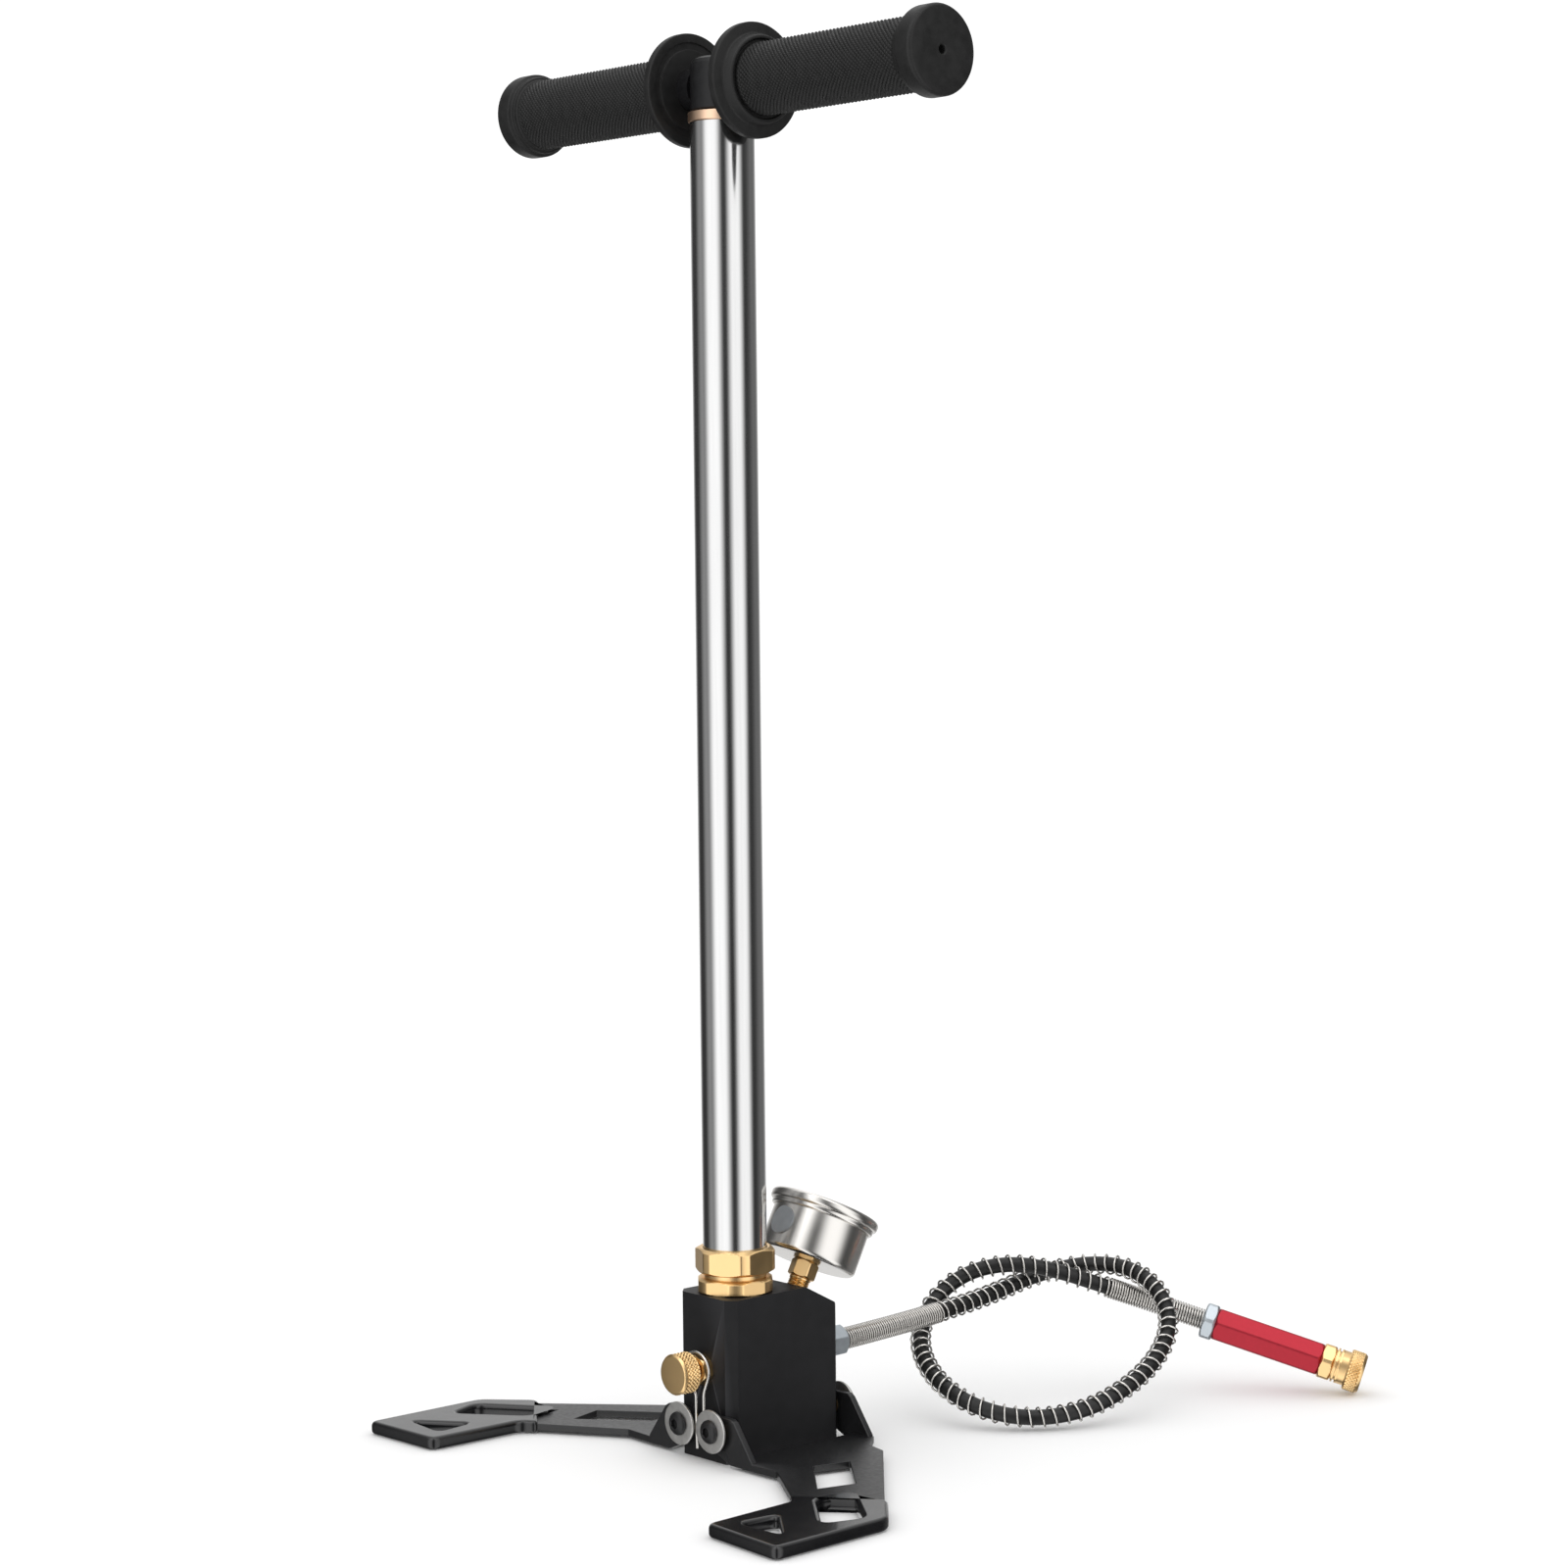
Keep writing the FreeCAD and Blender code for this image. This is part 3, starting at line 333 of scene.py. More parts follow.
BAR_HEIGHT = 594.3
GRIP_FACE = 19.5
GRIP_END = 136.0
ARM_RADIUS = 9.0
ARM_END = 132.0
FLANGE_RADIUS = 24.5
GRIP_RADIUS = 15.5
CAP_STEP_RADIUS = 17.1
CAP_RADIUS = 18.6
GRIP_DIAMONDS = 48
GRIP_LEAD = 2.2
GRIP_DEPTH = 0.5


def build_grip(name, side):
    """Flange and collar at the boss, a knurled length and a stepped, slightly domed cap."""
    flange = GRIP_FACE + 3.6
    collar = flange + 4.6
    root = collar - 1.2
    step = GRIP_END - 13.0
    cap = GRIP_END - 9.0
    ribbed = eased([
        (ARM_RADIUS, GRIP_FACE), (17.5, GRIP_FACE), (17.5, GRIP_FACE + 0.7),
        (20.5, GRIP_FACE + 0.7), (20.5, GRIP_FACE), (FLANGE_RADIUS, GRIP_FACE),
        (FLANGE_RADIUS, flange), (19.6, flange + 0.6), (18.4, collar), (16.9, collar + 0.2),
        (16.7, root), (GRIP_RADIUS, root)], 0.7, closed=False)
    body = stepped([(GRIP_RADIUS, root), (GRIP_RADIUS, step)], 0.35, closed=False)
    tail = eased([
        (GRIP_RADIUS, step), (GRIP_RADIUS + 0.2, step), (GRIP_RADIUS + 0.4, step + 1.2),
        (CAP_STEP_RADIUS, step + 1.4), (CAP_STEP_RADIUS, cap - 0.8), (CAP_RADIUS, cap),
        (CAP_RADIUS, GRIP_END - 1.6), (CAP_RADIUS - 1, GRIP_END - 0.3), (12.0, GRIP_END),
        (1.8, GRIP_END - 0.3), (1.6, ARM_END)], 0.8, closed=False)
    outline = ribbed[:-1] + body[:-1] + tail + [(ARM_RADIUS, ARM_END)]
    knurl = diamond_knurl(GRIP_DIAMONDS, GRIP_LEAD, GRIP_DEPTH, collar + 0.4, step - 0.3)
    lathe("grip_rubber_" + name, outline, "plunger", ["grip_" + name],
          place=standing(0, 0, BAR_HEIGHT, (0, side, 0)), sides=288, shape=knurl)


def build_handle():
    for name, side in (("left", 1), ("right", -1)):
        build_grip(name, side)


# ---- barrel and nuts ---------------------------------------------------------------------

BARREL_RADIUS = 14.0
BARREL_BORE = 12.5
GLAND_BORE = 10.05
GLAND_RING = 14.65
GLAND_DEPTH = 18.7
NUT_FLATS = 32.5
NUT_RIM = 17.7
NUT_SEAT = 84.2
UNION_LOW = 50
UNION_TOP = 78.5
UNION_RIM = 17.2
SPIGOT_STEP = 84
SPIGOT_TOP = 100


def build_barrel():
    low, top = (corner.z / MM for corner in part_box("outer_tube"))
    lathe("barrel_tube", eased([
        (BARREL_BORE, low), (BARREL_RADIUS, low), (BARREL_RADIUS, top), (BARREL_BORE, top)],
        0.4), "pump", ["outer_tube"], sides=160)
    ring_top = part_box("gland_bush")[1].z / MM
    bush = BARREL_BORE - 0.05
    lathe("gland_ring", eased([
        (GLAND_BORE, top - GLAND_DEPTH), (bush, top - GLAND_DEPTH), (bush, top),
        (GLAND_RING, top), (GLAND_RING, ring_top), (GLAND_BORE, ring_top)], 0.5),
        "pump", ["gland_bush"], sides=128)


def build_nuts():
    low, high = (corner.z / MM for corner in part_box("barrel_nut"))
    bore = BARREL_RADIUS + 0.1
    hexagon_piece("nut_upper", [
        (bore, NUT_SEAT), (bore, high - 0.1), (15.4, high), (NUT_RIM, high - 1.3),
        (NUT_RIM, low + 1.3), (15.6, low), (13.8, low), (13.8, NUT_SEAT)],
        NUT_FLATS, 4.0, "barrel_nut", sides=240)
    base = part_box("base_block")[1].z / MM
    hexagon_piece("nut_lower", [
        (11, UNION_LOW), (11, base), (16.2, base), (UNION_RIM, base + 0.7),
        (UNION_RIM, UNION_TOP - 1.2), (15.4, UNION_TOP), (13.65, UNION_TOP),
        (13.65, SPIGOT_STEP), (12.4, SPIGOT_STEP), (12.4, SPIGOT_TOP), (6.2, SPIGOT_TOP),
        (2, 61), (2, UNION_LOW)], NUT_FLATS, 50.0, "base_union", step=0.8, sides=240)


# ---- bleed valve ---------------------------------------------------------------------------

BLOCK_FRONT = -18.5
BLOCK_REAR = 46.5
PORT_HEIGHT = 40.0
KNOB_BACK = 8.8
KNOB_FACE = 17.8
KNOB_RADIUS = 8.98
KNOB_DIAMONDS = 32


def build_bleed():
    place = standing(BLOCK_FRONT, 0, PORT_HEIGHT, (-1, 0, 0))
    hexagon_piece("bleed_hex", [
        (3.06, -8), (4.8, -8), (4.8, 0), (6.4, 0), (6.9, 0.4), (6.9, 4.2), (6.0, 5), (3.06, 5)],
        12, 12, "bleed_collar", place)
    low = KNOB_BACK + 0.8
    high = KNOB_FACE - 1.0
    shank = eased([
        (0.4, -7.5), (0.8, -7.5), (2.9, -5.2), (2.9, 5.4), (4.3, 5.4), (4.3, KNOB_BACK),
        (7.8, KNOB_BACK)], 0.4, closed=False)
    grip = stepped([(KNOB_RADIUS, low), (KNOB_RADIUS, high)], 0.25, closed=False)
    face = eased([(8.7, KNOB_FACE - 0.6), (8.1, KNOB_FACE), (0.4, KNOB_FACE)], 0.3,
                 closed=False)
    lathe("bleed_knob", shank + grip + face, "bleed_valve", ["bleed_screw"], place=place,
          sides=256, shape=diamond_knurl(KNOB_DIAMONDS, 1.8, 0.5, low, high), closed=False)


# ---- hinge screws and washers ----------------------------------------------------------------

HINGE_OFFSET = 10.5
HINGE_HEIGHT = 15.0
WASHER_LOW = 5.0
WASHER_TOP = 6.2
WASHER_RADIUS = 9.5
SCREW_RADIUS = 3.0
SCREW_DEPTH = 11.0
HEAD_RADIUS = 5.2
HEAD_RISE = 2.7
SOCKET_RADIUS = 2.2
SOCKET_FLATS = 4.0


def build_hinges():
    """Four of each. The first screw and the first washer stand for their CAD nodes."""
    screw_nodes = ["hinge_screws"]
    washer_nodes = ["hinge_washers"]
    for face, way, end in ((BLOCK_FRONT, -1, "front"), (BLOCK_REAR, 1, "rear")):
        for side, hand in ((1, "left"), (-1, "right")):
            place = standing(face, side * HINGE_OFFSET, HINGE_HEIGHT, (way, 0, 0))
            build_screw("hinge_screw_" + end + "_" + hand, place, screw_nodes)
            build_washer("hinge_washer_" + end + "_" + hand, place, washer_nodes)
            screw_nodes = washer_nodes = []


def build_washer(name, place, nodes):
    lathe(name, eased([
        (SCREW_RADIUS, WASHER_LOW), (WASHER_RADIUS, WASHER_LOW), (WASHER_RADIUS, WASHER_TOP),
        (SCREW_RADIUS, WASHER_TOP)], 0.35), "pump", nodes, slot=slot_of["hinge_washers"],
        place=place)


def build_screw(name, place, nodes):
    """A button-head screw with a hexagon socket."""
    seat = WASHER_TOP
    dome = [(HEAD_RADIUS * math.cos(a) ** 0.9, seat + 0.5 + (HEAD_RISE - 0.5) * math.sin(a))
            for a in [math.radians(x) for x in range(0, 61, 10)]]
    outline = [(0.3, -SCREW_DEPTH), (SCREW_RADIUS, -SCREW_DEPTH), (SCREW_RADIUS, seat),
               (HEAD_RADIUS - 0.2, seat)] + dome
    outline += [(SOCKET_RADIUS + 0.15, seat + HEAD_RISE - 0.1),
                (SOCKET_RADIUS, seat + HEAD_RISE - 0.3), (SOCKET_RADIUS, seat + 1.0),
                (0.3, seat + 0.8)]
    socket = hexagonal(SOCKET_FLATS, 0.0, 0.05)

    def shape(angle, height, radius):
        inside = height > seat + 0.7 and radius < SOCKET_RADIUS + 0.1
        return socket(angle, height, radius * 1.06) if inside else radius
    lathe(name, outline, "pump", nodes, slot=slot_of["hinge_screws"], place=place, sides=96,
          shape=shape, closed=False)


# ---- foot coats ----------------------------------------------------------------------------

COAT_OUTLINE = [(-45.4, 84.4), (-49.8, 91.5), (-97.6, 93), (-100, 138.5), (-38.5, 138),
                (-19.3, 117.3)]
MIDDLE_WINDOW = [(-41, 97), (-24.2, 100.8), (-45.5, 130.5), (-62.5, 124.5)]
TOE_WINDOW = [(-87, 102), (-68.5, 104.5), (-85, 125.5)]
COAT_ROUND = 2.0
COAT_CORNERS = ((COAT_OUTLINE, 4.5), (MIDDLE_WINDOW, 4.5), (TOE_WINDOW, 4.0))


def build_coat(name, side):
    """The vinyl skin that the foot was dipped in, with thick soft edges."""
    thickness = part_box("foot_coat_" + name)[1].z / MM
    data = bpy.data.curves.new("coat", "CURVE")
    data.dimensions = "2D"
    data.fill_mode = "BOTH"
    data.bevel_depth = COAT_ROUND * MM
    data.bevel_resolution = 4
    data.offset = -COAT_ROUND * MM
    data.extrude = (thickness / 2 - COAT_ROUND) * MM
    for outline, radius in COAT_CORNERS:
        corners = eased([(x, side * y) for x, y in outline], radius, steps=5)
        spline = data.splines.new("POLY")
        spline.points.add(len(corners) - 1)
        for point, (x, y) in zip(spline.points, corners):
            point.co = (x * MM, y * MM, 0, 1)
        spline.use_cyclic_u = True
    source = bpy.data.objects.new("coat", data)
    mesh = bpy.data.meshes.new_from_object(source)
    bpy.data.objects.remove(source)
    mesh.transform(Matrix.Translation((0, 0, thickness / 2 * MM)))
    mesh.shade_smooth()
    mesh.set_sharp_from_angle(angle=math.radians(50))
    piece = bpy.data.objects.new("foot_dip_" + name, mesh)
    bpy.context.collection.objects.link(piece)
    finish_piece(piece, name + "_foot", ["foot_coat_" + name])


# ---- gauge ---------------------------------------------------------------------------------

GAUGE_TILT = 28.0
GAUGE_PLACE = (35.6, 0, 66.63)
HEX_LOW = 5.8
CASE_LOW = 13.4
DIAL_TOP = 32.5
CASE_TOP = 35.2
RIM_TOP = 40.0
CUP_RADIUS = 22.2
RIM_RADIUS = 25.1
GLASS_RADIUS = 20.4
STEM_BORE = 1.2
THREAD_RADIUS = 4.85
THREAD_PITCH = 0.91
STEM_CORNER = 8
DIAL_SWEEP = 270.0
DIAL_START = -45
DIAL_TICKS = 40
DIAL_NUMBERS = 4
TICK_REACH = 18.0
NUMBER_REACH = 11.6
NUMBER_SIZE = 4.0
PRINT_LIFT = 0.03


def gauge_matrix():
    """Its axes: X down the dial, Y to the reader's right and Z out of the face."""
    turn = Matrix.Rotation(math.radians(GAUGE_TILT), 4, "Y")
    return Matrix.Translation(Vector(GAUGE_PLACE) * MM) @ turn


def build_gauge():
    place = gauge_matrix()
    stem_hex = hexagonal(11.2, STEM_CORNER)
    thread = threaded(THREAD_PITCH, 0.55, -6, HEX_LOW - 1)

    def stem_shape(angle, height, radius):
        if height > HEX_LOW:
            return stem_hex(angle, height, radius)
        return thread(angle, height, radius)
    lathe("gauge_stem_hex", stepped(eased([
        (STEM_BORE, -7.5), (4.4, -7.5), (THREAD_RADIUS, -6.9), (THREAD_RADIUS, HEX_LOW - 0.4),
        (4.5, HEX_LOW), (5.6, HEX_LOW + 0.05), (6.3, HEX_LOW + 0.6), (6.3, CASE_LOW - 0.8),
        (5.4, CASE_LOW), (STEM_BORE, CASE_LOW)], 0.12), 0.2), "pump", ["gauge_stem"],
        place=place, sides=144, shape=stem_shape, first_angle=STEM_CORNER, crease=24)
    lathe("gauge_cup", eased([
        (STEM_BORE, CASE_LOW), (20.8, CASE_LOW), (CUP_RADIUS, CASE_LOW + 1.4),
        (CUP_RADIUS, CASE_TOP), (21.4, CASE_TOP), (21.4, CASE_LOW + 2), (20.4, CASE_LOW + 0.8),
        (STEM_BORE, CASE_LOW + 0.8)], 0.9), "pump", ["gauge_case"], place=place, sides=144)
    seat = CUP_RADIUS + 0.05
    lathe("gauge_rim", eased([
        (seat, CASE_TOP - 1.8), (23.2, CASE_TOP - 1.8), (23.7, CASE_TOP - 1.2),
        (23.7, CASE_TOP + 0.3), (24.7, CASE_TOP + 0.7), (RIM_RADIUS, CASE_TOP + 1.6),
        (RIM_RADIUS, RIM_TOP - 1.2), (24.5, RIM_TOP - 0.3), (23.3, RIM_TOP),
        (GLASS_RADIUS, CASE_TOP + 1.8), (GLASS_RADIUS, CASE_TOP + 1.5),
        (seat, CASE_TOP + 1.5)], 0.4), "pump", ["gauge_bezel"], place=place, sides=144)
    build_dial(place)


def build_dial(place):
    """Printed ticks and numbers, lying just on the dial."""
    points = []
    faces = []
    for i in range(DIAL_TICKS + 1):
        angle = math.radians(DIAL_START - DIAL_SWEEP * i / DIAL_TICKS)
        long_tick = i % 10 == 0
        inner = 14.4 if long_tick else (15.6 if i % 5 == 0 else 16.4)
        half = 0.28 if long_tick else 0.13
        out = Vector((math.cos(angle), math.sin(angle), 0))
        across = Vector((-out.y, out.x, 0)) * half
        first = len(points)
        level = Vector((0, 0, DIAL_TOP + PRINT_LIFT))
        for reach, way in ((inner, -1), (TICK_REACH, -1), (TICK_REACH, 1), (inner, 1)):
            points.append(out * reach + across * way + level)
        faces.append((first, first + 1, first + 2, first + 3))
    mesh_piece("dial_ticks", points, faces, "pump", slot="needle_black", place=place)
    for i in range(DIAL_NUMBERS + 1):
        angle = math.radians(DIAL_START - DIAL_SWEEP * i / DIAL_NUMBERS)
        build_number(place, str(10 * i), NUMBER_REACH * math.cos(angle),
                     NUMBER_REACH * math.sin(angle))


def build_number(place, digits, x, y):
    data = bpy.data.curves.new("number", "FONT")
    data.body = digits
    data.size = NUMBER_SIZE * MM
    data.align_x = "CENTER"
    data.align_y = "CENTER"
    source = bpy.data.objects.new("number", data)
    mesh = bpy.data.meshes.new_from_object(source)
    bpy.data.objects.remove(source)
    upright = Matrix.Rotation(math.radians(90), 4, "Z")
    spot = Matrix.Translation(Vector((x, y, DIAL_TOP + PRINT_LIFT)) * MM)
    mesh.transform(place @ spot @ upright)
    piece = bpy.data.objects.new("dial_number_" + digits, mesh)
    bpy.context.collection.objects.link(piece)
    finish_piece(piece, "pump", slot="needle_black")


# ---- outlet fitting and coupler ------------------------------------------------------------

BORE = 1.5
OUTLET_LENGTH = 16.5
NUT_LENGTH = 6.0
FILTER_LENGTH = 51.3
COUPLER_LENGTH = 20.3
FAR_CORNER = 20
NECK_RADIUS = 7
RING_RADIUS = 8.5
RING_WIDTH = 0.9
SLEEVE_LENGTH = 7.6
SLEEVE_RADIUS = 9.65
SLEEVE_DIAMONDS = 32


def build_outlet():
    place = standing(BLOCK_REAR, 0, PORT_HEIGHT, (1, 0, 0))
    hexagon_piece("outlet_hex", [
        (BORE, -11), (4.8, -11), (4.8, 0), (6.6, 0), (7.4, 0.8), (7.4, OUTLET_LENGTH - 2.2),
        (6.4, OUTLET_LENGTH - 1.2), (5.4, OUTLET_LENGTH - 1), (5.4, OUTLET_LENGTH),
        (BORE, OUTLET_LENGTH)], 13, 10, "outlet_fitting", place)


def build_coupler():
    """The hose's far end: zinc nut, red filter body and brass quick coupler."""
    start = Vector(HOSE_ROUTE[-1]) / MM
    heading = (Vector(HOSE_ROUTE[-1]) - Vector(HOSE_ROUTE[-2])).normalized()
    place = standing(*start, heading)
    nut_end = NUT_LENGTH
    body_end = nut_end + FILTER_LENGTH
    tip = body_end + COUPLER_LENGTH
    nut = hexagon_piece("end_nut", [
        (BORE, 0), (7.4, 0), (9.0, 1.1), (9.0, nut_end - 1.1), (7.6, nut_end),
        (BORE, nut_end)], 16.4, FAR_CORNER, "hose_end_nut", place)
    shell = hexagon_piece("filter_hex", [
        (BORE, nut_end), (7.0, nut_end), (8.3, nut_end + 1.4), (8.3, body_end - 1.4),
        (7.0, body_end), (BORE, body_end)], 14.6, FAR_CORNER, "filter_body", place,
        step=0.5, corner_round=0.25)
    hex_end = body_end + 6
    ring = hex_end + 0.6
    second = ring + 1.9
    brass = hexagon_piece("coupler_core", [
        (BORE, body_end), (7.6, body_end), (8.8, body_end + 0.9), (8.8, hex_end - 0.9),
        (7.6, hex_end), (NECK_RADIUS, hex_end), (NECK_RADIUS, ring), (RING_RADIUS, ring),
        (RING_RADIUS, ring + RING_WIDTH), (NECK_RADIUS, ring + RING_WIDTH),
        (NECK_RADIUS, second), (RING_RADIUS, second), (RING_RADIUS, second + RING_WIDTH),
        (NECK_RADIUS, second + RING_WIDTH), (NECK_RADIUS, tip - 0.4), (4, tip - 0.4),
        (4, tip - 12), (BORE, tip - 12)], 16, FAR_CORNER, "coupler_body", place)
    back = tip - SLEEVE_LENGTH
    low = back + 0.6
    high = tip - 1.4
    inside = eased([
        (NECK_RADIUS + 0.05, tip), (NECK_RADIUS + 0.05, back + 3.4), (8.2, back + 3.4),
        (8.2, back), (9.2, back)], 0.2, closed=False)
    grip = stepped([(SLEEVE_RADIUS, low), (SLEEVE_RADIUS, high)], 0.25, closed=False)
    nose = eased([(9.3, tip - 0.8), (8.6, tip)], 0.2, closed=False)
    sleeve = lathe("coupler_grip", inside + grip + nose, "sleeve", ["coupler_sleeve"],
                   place=place, sides=256,
                   shape=diamond_knurl(SLEEVE_DIAMONDS, 1.9, 0.55, low, high))
    return [nut, shell, brass, sleeve]


# ---- materials -----------------------------------------------------------------------------

def noise_node(tree, scale, detail, coordinates, stretch=(1, 1, 1)):
    mapping = tree.nodes.new("ShaderNodeMapping")
    mapping.inputs["Scale"].default_value = stretch
    noise = tree.nodes.new("ShaderNodeTexNoise")
    noise.inputs["Scale"].default_value = scale
    noise.inputs["Detail"].default_value = detail
    tree.links.new(coordinates.outputs["Object"], mapping.inputs["Vector"])
    tree.links.new(mapping.outputs["Vector"], noise.inputs["Vector"])
    return noise


def material(name, colour, metallic=0.0, rough=0.4, vary=0.06, tint=0.08, scale=300.0,
             bump=0.0, bump_scale=1500.0, stretch=(1, 1, 1), coat=0.0, specular=0.5,
             edge=None):
    """A finish whose colour, roughness and relief all vary a little over the surface."""
    finish = bpy.data.materials.new(name)
    finish.use_nodes = True
    tree = finish.node_tree
    shader = tree.nodes["Principled BSDF"]
    shader.inputs["Metallic"].default_value = metallic
    shader.inputs["Specular IOR Level"].default_value = specular
    shader.inputs["Coat Weight"].default_value = coat
    shader.inputs["Coat Roughness"].default_value = 0.08
    coordinates = tree.nodes.new("ShaderNodeTexCoord")
    cloud = noise_node(tree, scale, 4.0, coordinates, stretch)
    ramp = tree.nodes.new("ShaderNodeValToRGB")
    ramp.color_ramp.elements[0].position = 0.3
    ramp.color_ramp.elements[1].position = 0.7
    ramp.color_ramp.elements[0].color = (*[c * (1 - tint) for c in colour], 1)
    ramp.color_ramp.elements[1].color = (*[min(1, c * (1 + tint)) for c in colour], 1)
    tree.links.new(cloud.outputs["Fac"], ramp.inputs["Fac"])
    paint = ramp.outputs["Color"]
    # Painted highlight: a lighter colour on sharply convex edges.
    if edge is not None:
        paint = painted_edge_highlight(tree, paint, edge)
    tree.links.new(paint, shader.inputs["Base Color"])
    spread = tree.nodes.new("ShaderNodeMapRange")
    spread.inputs["From Min"].default_value = 0.3
    spread.inputs["From Max"].default_value = 0.7
    spread.inputs["To Min"].default_value = rough - vary
    spread.inputs["To Max"].default_value = rough + vary
    tree.links.new(cloud.outputs["Fac"], spread.inputs["Value"])
    tree.links.new(spread.outputs["Result"], shader.inputs["Roughness"])
    if bump:
        grain = noise_node(tree, bump_scale, 3.0, coordinates, stretch)
        relief = tree.nodes.new("ShaderNodeBump")
        relief.inputs["Strength"].default_value = bump
        relief.inputs["Distance"].default_value = 0.0002
        tree.links.new(grain.outputs["Fac"], relief.inputs["Height"])
        tree.links.new(relief.outputs["Normal"], shader.inputs["Normal"])
    return finish


def painted_edge_highlight(tree, paint, colour):
    """Lets a lighter colour through where the surface is sharply convex, as a painted highlight on
    the edges.
    """
    geometry = tree.nodes.new("ShaderNodeNewGeometry")
    sharp = tree.nodes.new("ShaderNodeMapRange")
    sharp.inputs["From Min"].default_value = 0.53
    sharp.inputs["From Max"].default_value = 0.62
    mix = tree.nodes.new("ShaderNodeMix")
    mix.data_type = "RGBA"
    tree.links.new(geometry.outputs["Pointiness"], sharp.inputs["Value"])
    tree.links.new(sharp.outputs["Result"], mix.inputs["Factor"])
    tree.links.new(paint, mix.inputs["A"])
    mix.inputs["B"].default_value = (*colour, 1)
    return mix.outputs["Result"]


def glass_material():
    finish = material("lens_glass", (0.95, 0.97, 0.97), rough=0.03, vary=0.02, tint=0.01)
    shader = finish.node_tree.nodes["Principled BSDF"]
    shader.inputs["Transmission Weight"].default_value = 1.0
    shader.inputs["IOR"].default_value = 1.45
    return finish


def build_materials():
    long_grain = (1, 1, 0.02)
    return {
        "polished_stainless": material("stainless_tube", (0.64, 0.64, 0.64), metallic=1.0,
            rough=0.13, vary=0.02, tint=0.03, scale=900, bump=0.02, bump_scale=2500,
            stretch=long_grain),
        "bronze": material("gland_bronze", (0.88, 0.62, 0.44), metallic=1.0, rough=0.36,
            vary=0.03, tint=0.03, scale=200),
        "brass": material("brass", (0.90, 0.62, 0.30), metallic=1.0, rough=0.3, vary=0.02,
            tint=0.03, scale=120),
        "black_rubber": material("seal_rubber", (0.02, 0.02, 0.02), rough=0.6, vary=0.08,
            tint=0.2, scale=900, bump=0.1),
        "grip_rubber": material("grip_rubber", (0.011, 0.011, 0.011), rough=0.5, vary=0.06,
            tint=0.2, scale=260, bump=0.08, bump_scale=2600, specular=0.35),
        "hose_rubber": material("hose_rubber", (0.008, 0.008, 0.008), rough=0.42, vary=0.06,
            tint=0.2, scale=400, bump=0.05, bump_scale=2000, specular=0.4),
        "grey_rubber": material("plug_rubber", (0.22, 0.235, 0.25), rough=0.5, vary=0.05,
            tint=0.06, scale=300, bump=0.05),
        "steel": material("ground_steel", (0.55, 0.55, 0.56), metallic=1.0, rough=0.3, vary=0.05,
            tint=0.05, scale=600, bump=0.02),
        "spring_steel": material("spring_wire", (0.68, 0.66, 0.63), metallic=1.0, rough=0.2,
            vary=0.03, tint=0.04, scale=900),
        "washer_steel": material("washer_steel", (0.66, 0.65, 0.63), metallic=1.0, rough=0.45,
            vary=0.04, tint=0.05, scale=500, bump=0.03, bump_scale=3000),
        "gauge_steel": material("gauge_steel", (0.74, 0.72, 0.69), metallic=1.0, rough=0.24,
            vary=0.02, tint=0.02, scale=60),
        "black_screw": material("black_oxide", (0.012, 0.012, 0.013), metallic=0.2, rough=0.4,
            vary=0.05, tint=0.2, scale=800, bump=0.03),
        "black_enamel": material("boss_enamel", (0.010, 0.010, 0.011), rough=0.42, vary=0.05,
            tint=0.2, scale=400, bump=0.03, specular=0.3),
        "aluminium": material("aluminium", (0.7, 0.7, 0.71), metallic=1.0, rough=0.35, vary=0.05,
            tint=0.05, scale=600),
        # The lighter edge colour here is a painted highlight on sharply convex edges.
        "black_anodised": material("block_anodised", (0.0085, 0.0085, 0.0095), rough=0.5,
            vary=0.05, tint=0.12, scale=200, bump=0.03, bump_scale=4000, specular=0.3,
            edge=(0.05, 0.05, 0.055)),
        "red_anodised": material("red_anodised", (0.43, 0.024, 0.04), metallic=0.7, rough=0.36,
            vary=0.03, tint=0.05, scale=350),
        # The lighter edge colour here is a painted highlight on sharply convex edges.
        "powder_coat": material("powder_coat", (0.012, 0.012, 0.013), rough=0.36, vary=0.05,
            tint=0.12, scale=500, bump=0.15, bump_scale=1600, specular=0.5,
            edge=(0.05, 0.05, 0.052)),
        "dipped_vinyl": material("dipped_vinyl", (0.006, 0.006, 0.007), rough=0.24, vary=0.03,
            tint=0.1, scale=120, bump=0.03, bump_scale=300, coat=0.35, specular=0.45),
        "black_plastic": material("guide_plastic", (0.03, 0.03, 0.03), rough=0.5, vary=0.06,
            tint=0.15, scale=500),
        "glass": glass_material(),
        "dial_white": material("dial_print", (0.78, 0.78, 0.76), rough=0.45, vary=0.05, tint=0.03,
            scale=300),
        "needle_black": material("needle_paint", (0.02, 0.02, 0.02), rough=0.4, vary=0.05,
            tint=0.15, scale=500),
        "zinc": material("zinc_plate", (0.56, 0.61, 0.65), metallic=0.9, rough=0.4, vary=0.05,
            tint=0.06, scale=300, bump=0.04, bump_scale=1500),
        "sintered_bronze": material("sintered_bronze", (0.5, 0.36, 0.2), metallic=0.9, rough=0.6,
            vary=0.1, tint=0.25, scale=2500, bump=0.6, bump_scale=3500),
    }


# Edge radius of the CAD pieces that are shown as they are.
BEVELLED = {"base_block": 0.5, "foot_plate_left": 0.45, "foot_plate_right": 0.45,
            "handle_boss": 0.3, "handle_arm_left": 0.3, "handle_arm_right": 0.3}


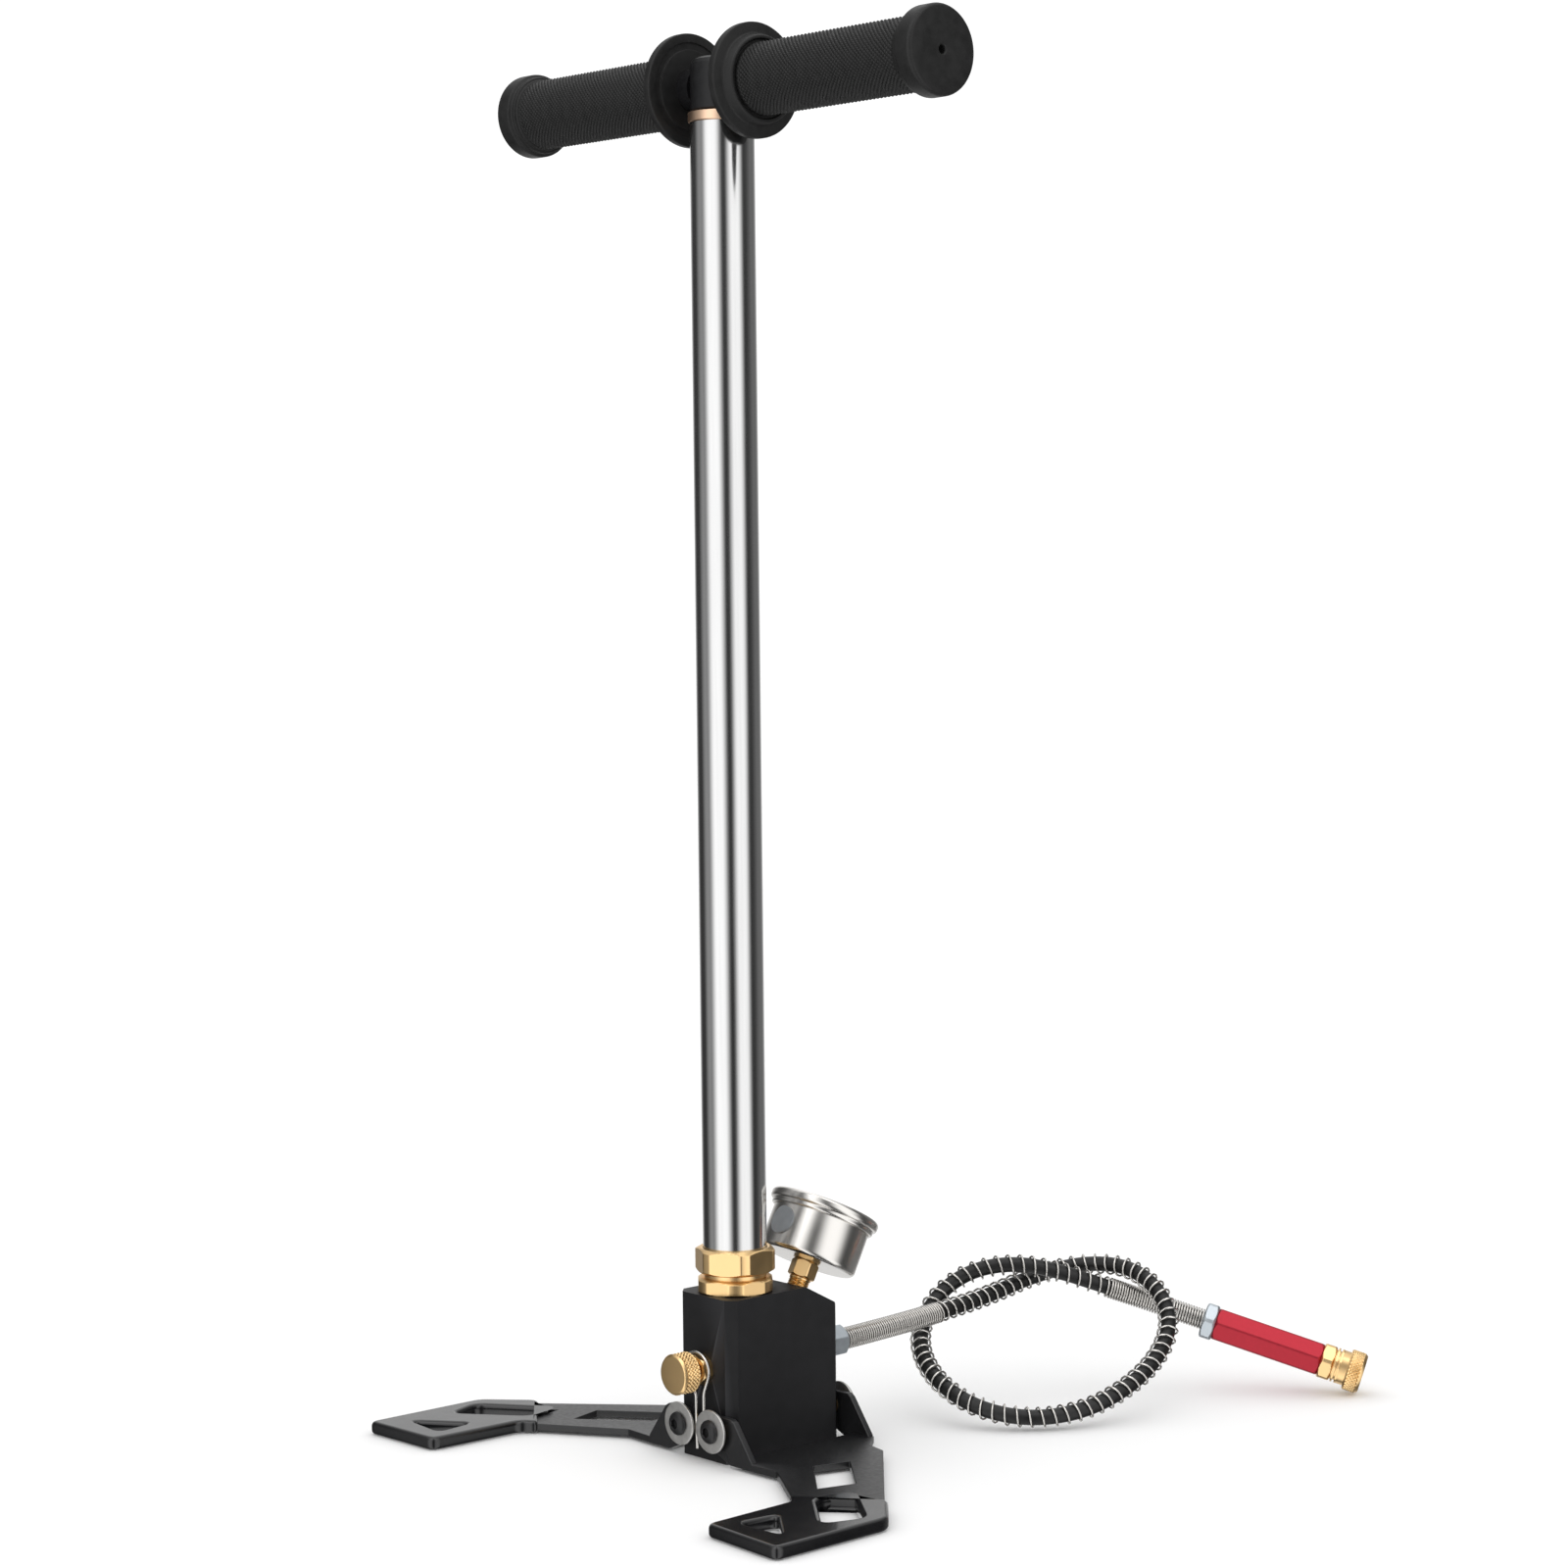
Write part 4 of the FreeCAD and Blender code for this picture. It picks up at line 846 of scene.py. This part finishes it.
def ease_edges(node, width):
    """Rounds a carried-over CAD piece's sharp edges, without touching its mesh."""
    weld = node.modifiers.new("weld", "WELD")
    weld.merge_threshold = 0.01 * MM
    bevel = node.modifiers.new("bevel", "BEVEL")
    bevel.width = width * MM
    bevel.segments = 3
    bevel.limit_method = "ANGLE"
    bevel.angle_limit = math.radians(35)
    flat = node.modifiers.new("flat faces", "WEIGHTED_NORMAL")
    flat.weight = 100


def paint_pieces(finishes):
    for piece, slot in pieces_by_slot:
        piece.data.materials.clear()
        piece.data.materials.append(finishes[slot])
    for name, node in frame["nodes"].items():
        for place in node.material_slots:
            place.material = finishes[slot_of[name]]
    for name, width in BEVELLED.items():
        ease_edges(frame["nodes"][name], width)


# ---- stage ---------------------------------------------------------------------------------

# Tall soft lights as the polished parts see them: bearing from the camera, half width
# and soft edge in degrees, and brightness.
STRIPS = [(-42, 27, 14, 1.45), (42, 24, 13, 1.35), (-90, 10, 18, 0.3), (128, 26, 18, 0.14),
          (180, 26, 18, 0.8), (-180, 26, 18, 0.8)]
ROOM = 0.05
CEILING = 0.9
DAYLIGHT = 1.12
FLOOR_HALF = 30.0


def studio_light(tree):
    """Brightness by direction: tall strips round the room and a soft ceiling."""
    place = tree.nodes.new("ShaderNodeTexCoord")
    turn = tree.nodes.new("ShaderNodeMapping")
    turn.vector_type = "NORMAL"
    turn.inputs["Rotation"].default_value = (0, 0, math.radians(90 + CAMERA_AZIMUTH))
    split = tree.nodes.new("ShaderNodeSeparateXYZ")
    tree.links.new(place.outputs["Generated"], turn.inputs["Vector"])
    tree.links.new(turn.outputs["Vector"], split.inputs["Vector"])
    bearing = operation(tree, "ARCTAN2", split.outputs["Y"], split.outputs["X"])
    total = ramp_up(tree, split.outputs["Z"], 0.45, 0.95, ROOM, CEILING)
    for middle, half, soft, brightness in STRIPS:
        away = operation(tree, "ABSOLUTE", operation(tree, "SUBTRACT", bearing,
                                                     math.radians(middle)))
        strip = ramp_up(tree, away, math.radians(half + soft), math.radians(max(half - soft, 1)),
                        0.0, brightness)
        total = operation(tree, "ADD", total, strip)
    return total


def operation(tree, name, first, second=None):
    node = tree.nodes.new("ShaderNodeMath")
    node.operation = name
    for socket, value in zip(node.inputs, (first, second)):
        if isinstance(value, float):
            socket.default_value = value
        elif value is not None:
            tree.links.new(value, socket)
    return node.outputs["Value"]


def ramp_up(tree, value, start, end, low, high):
    node = tree.nodes.new("ShaderNodeMapRange")
    node.interpolation_type = "SMOOTHSTEP"
    for name, number in (("From Min", start), ("From Max", end), ("To Min", low),
                         ("To Max", high)):
        node.inputs[name].default_value = number
    tree.links.new(value, node.inputs["Value"])
    return node.outputs["Result"]


def build_world():
    """White to the camera, even daylight on matt surfaces and strips in polished ones."""
    world = bpy.data.worlds.new("studio")
    bpy.context.scene.world = world
    world.use_nodes = True
    tree = world.node_tree
    path = tree.nodes.new("ShaderNodeLightPath")
    light = tree.nodes.new("ShaderNodeMix")
    light.data_type = "FLOAT"
    light.inputs["A"].default_value = DAYLIGHT
    tree.links.new(path.outputs["Is Glossy Ray"], light.inputs["Factor"])
    tree.links.new(studio_light(tree), light.inputs["B"])
    tree.links.new(light.outputs["Result"], tree.nodes["Background"].inputs["Strength"])
    tree.nodes["Background"].inputs["Color"].default_value = (1, 1, 1, 1)


def build_stage():
    mesh = bpy.data.meshes.new("floor")
    corners = [(x * FLOOR_HALF, y * FLOOR_HALF, 0) for x, y in ((-1, -1), (1, -1), (1, 1), (-1, 1))]
    mesh.from_pydata(corners, [], [(0, 1, 2, 3)])
    floor = bpy.data.objects.new("floor", mesh)
    bpy.context.collection.objects.link(floor)
    floor.data.materials.append(material("floor_paper", (0.96, 0.96, 0.96), rough=0.9, vary=0.03,
                                         tint=0.01, scale=3.0, specular=0.0))
    floor.visible_glossy = False
    build_world()
    bpy.context.scene.view_settings.view_transform = "Standard"


build_camera()
hose, hose_spring = build_hose()
coupler_pieces = build_coupler()
build_handle()
build_barrel()
build_nuts()
build_bleed()
build_hinges()
for hand, sign in (("left", 1), ("right", -1)):
    build_coat(hand, sign)
build_gauge()
build_outlet()
paint_pieces(build_materials())
build_stage()
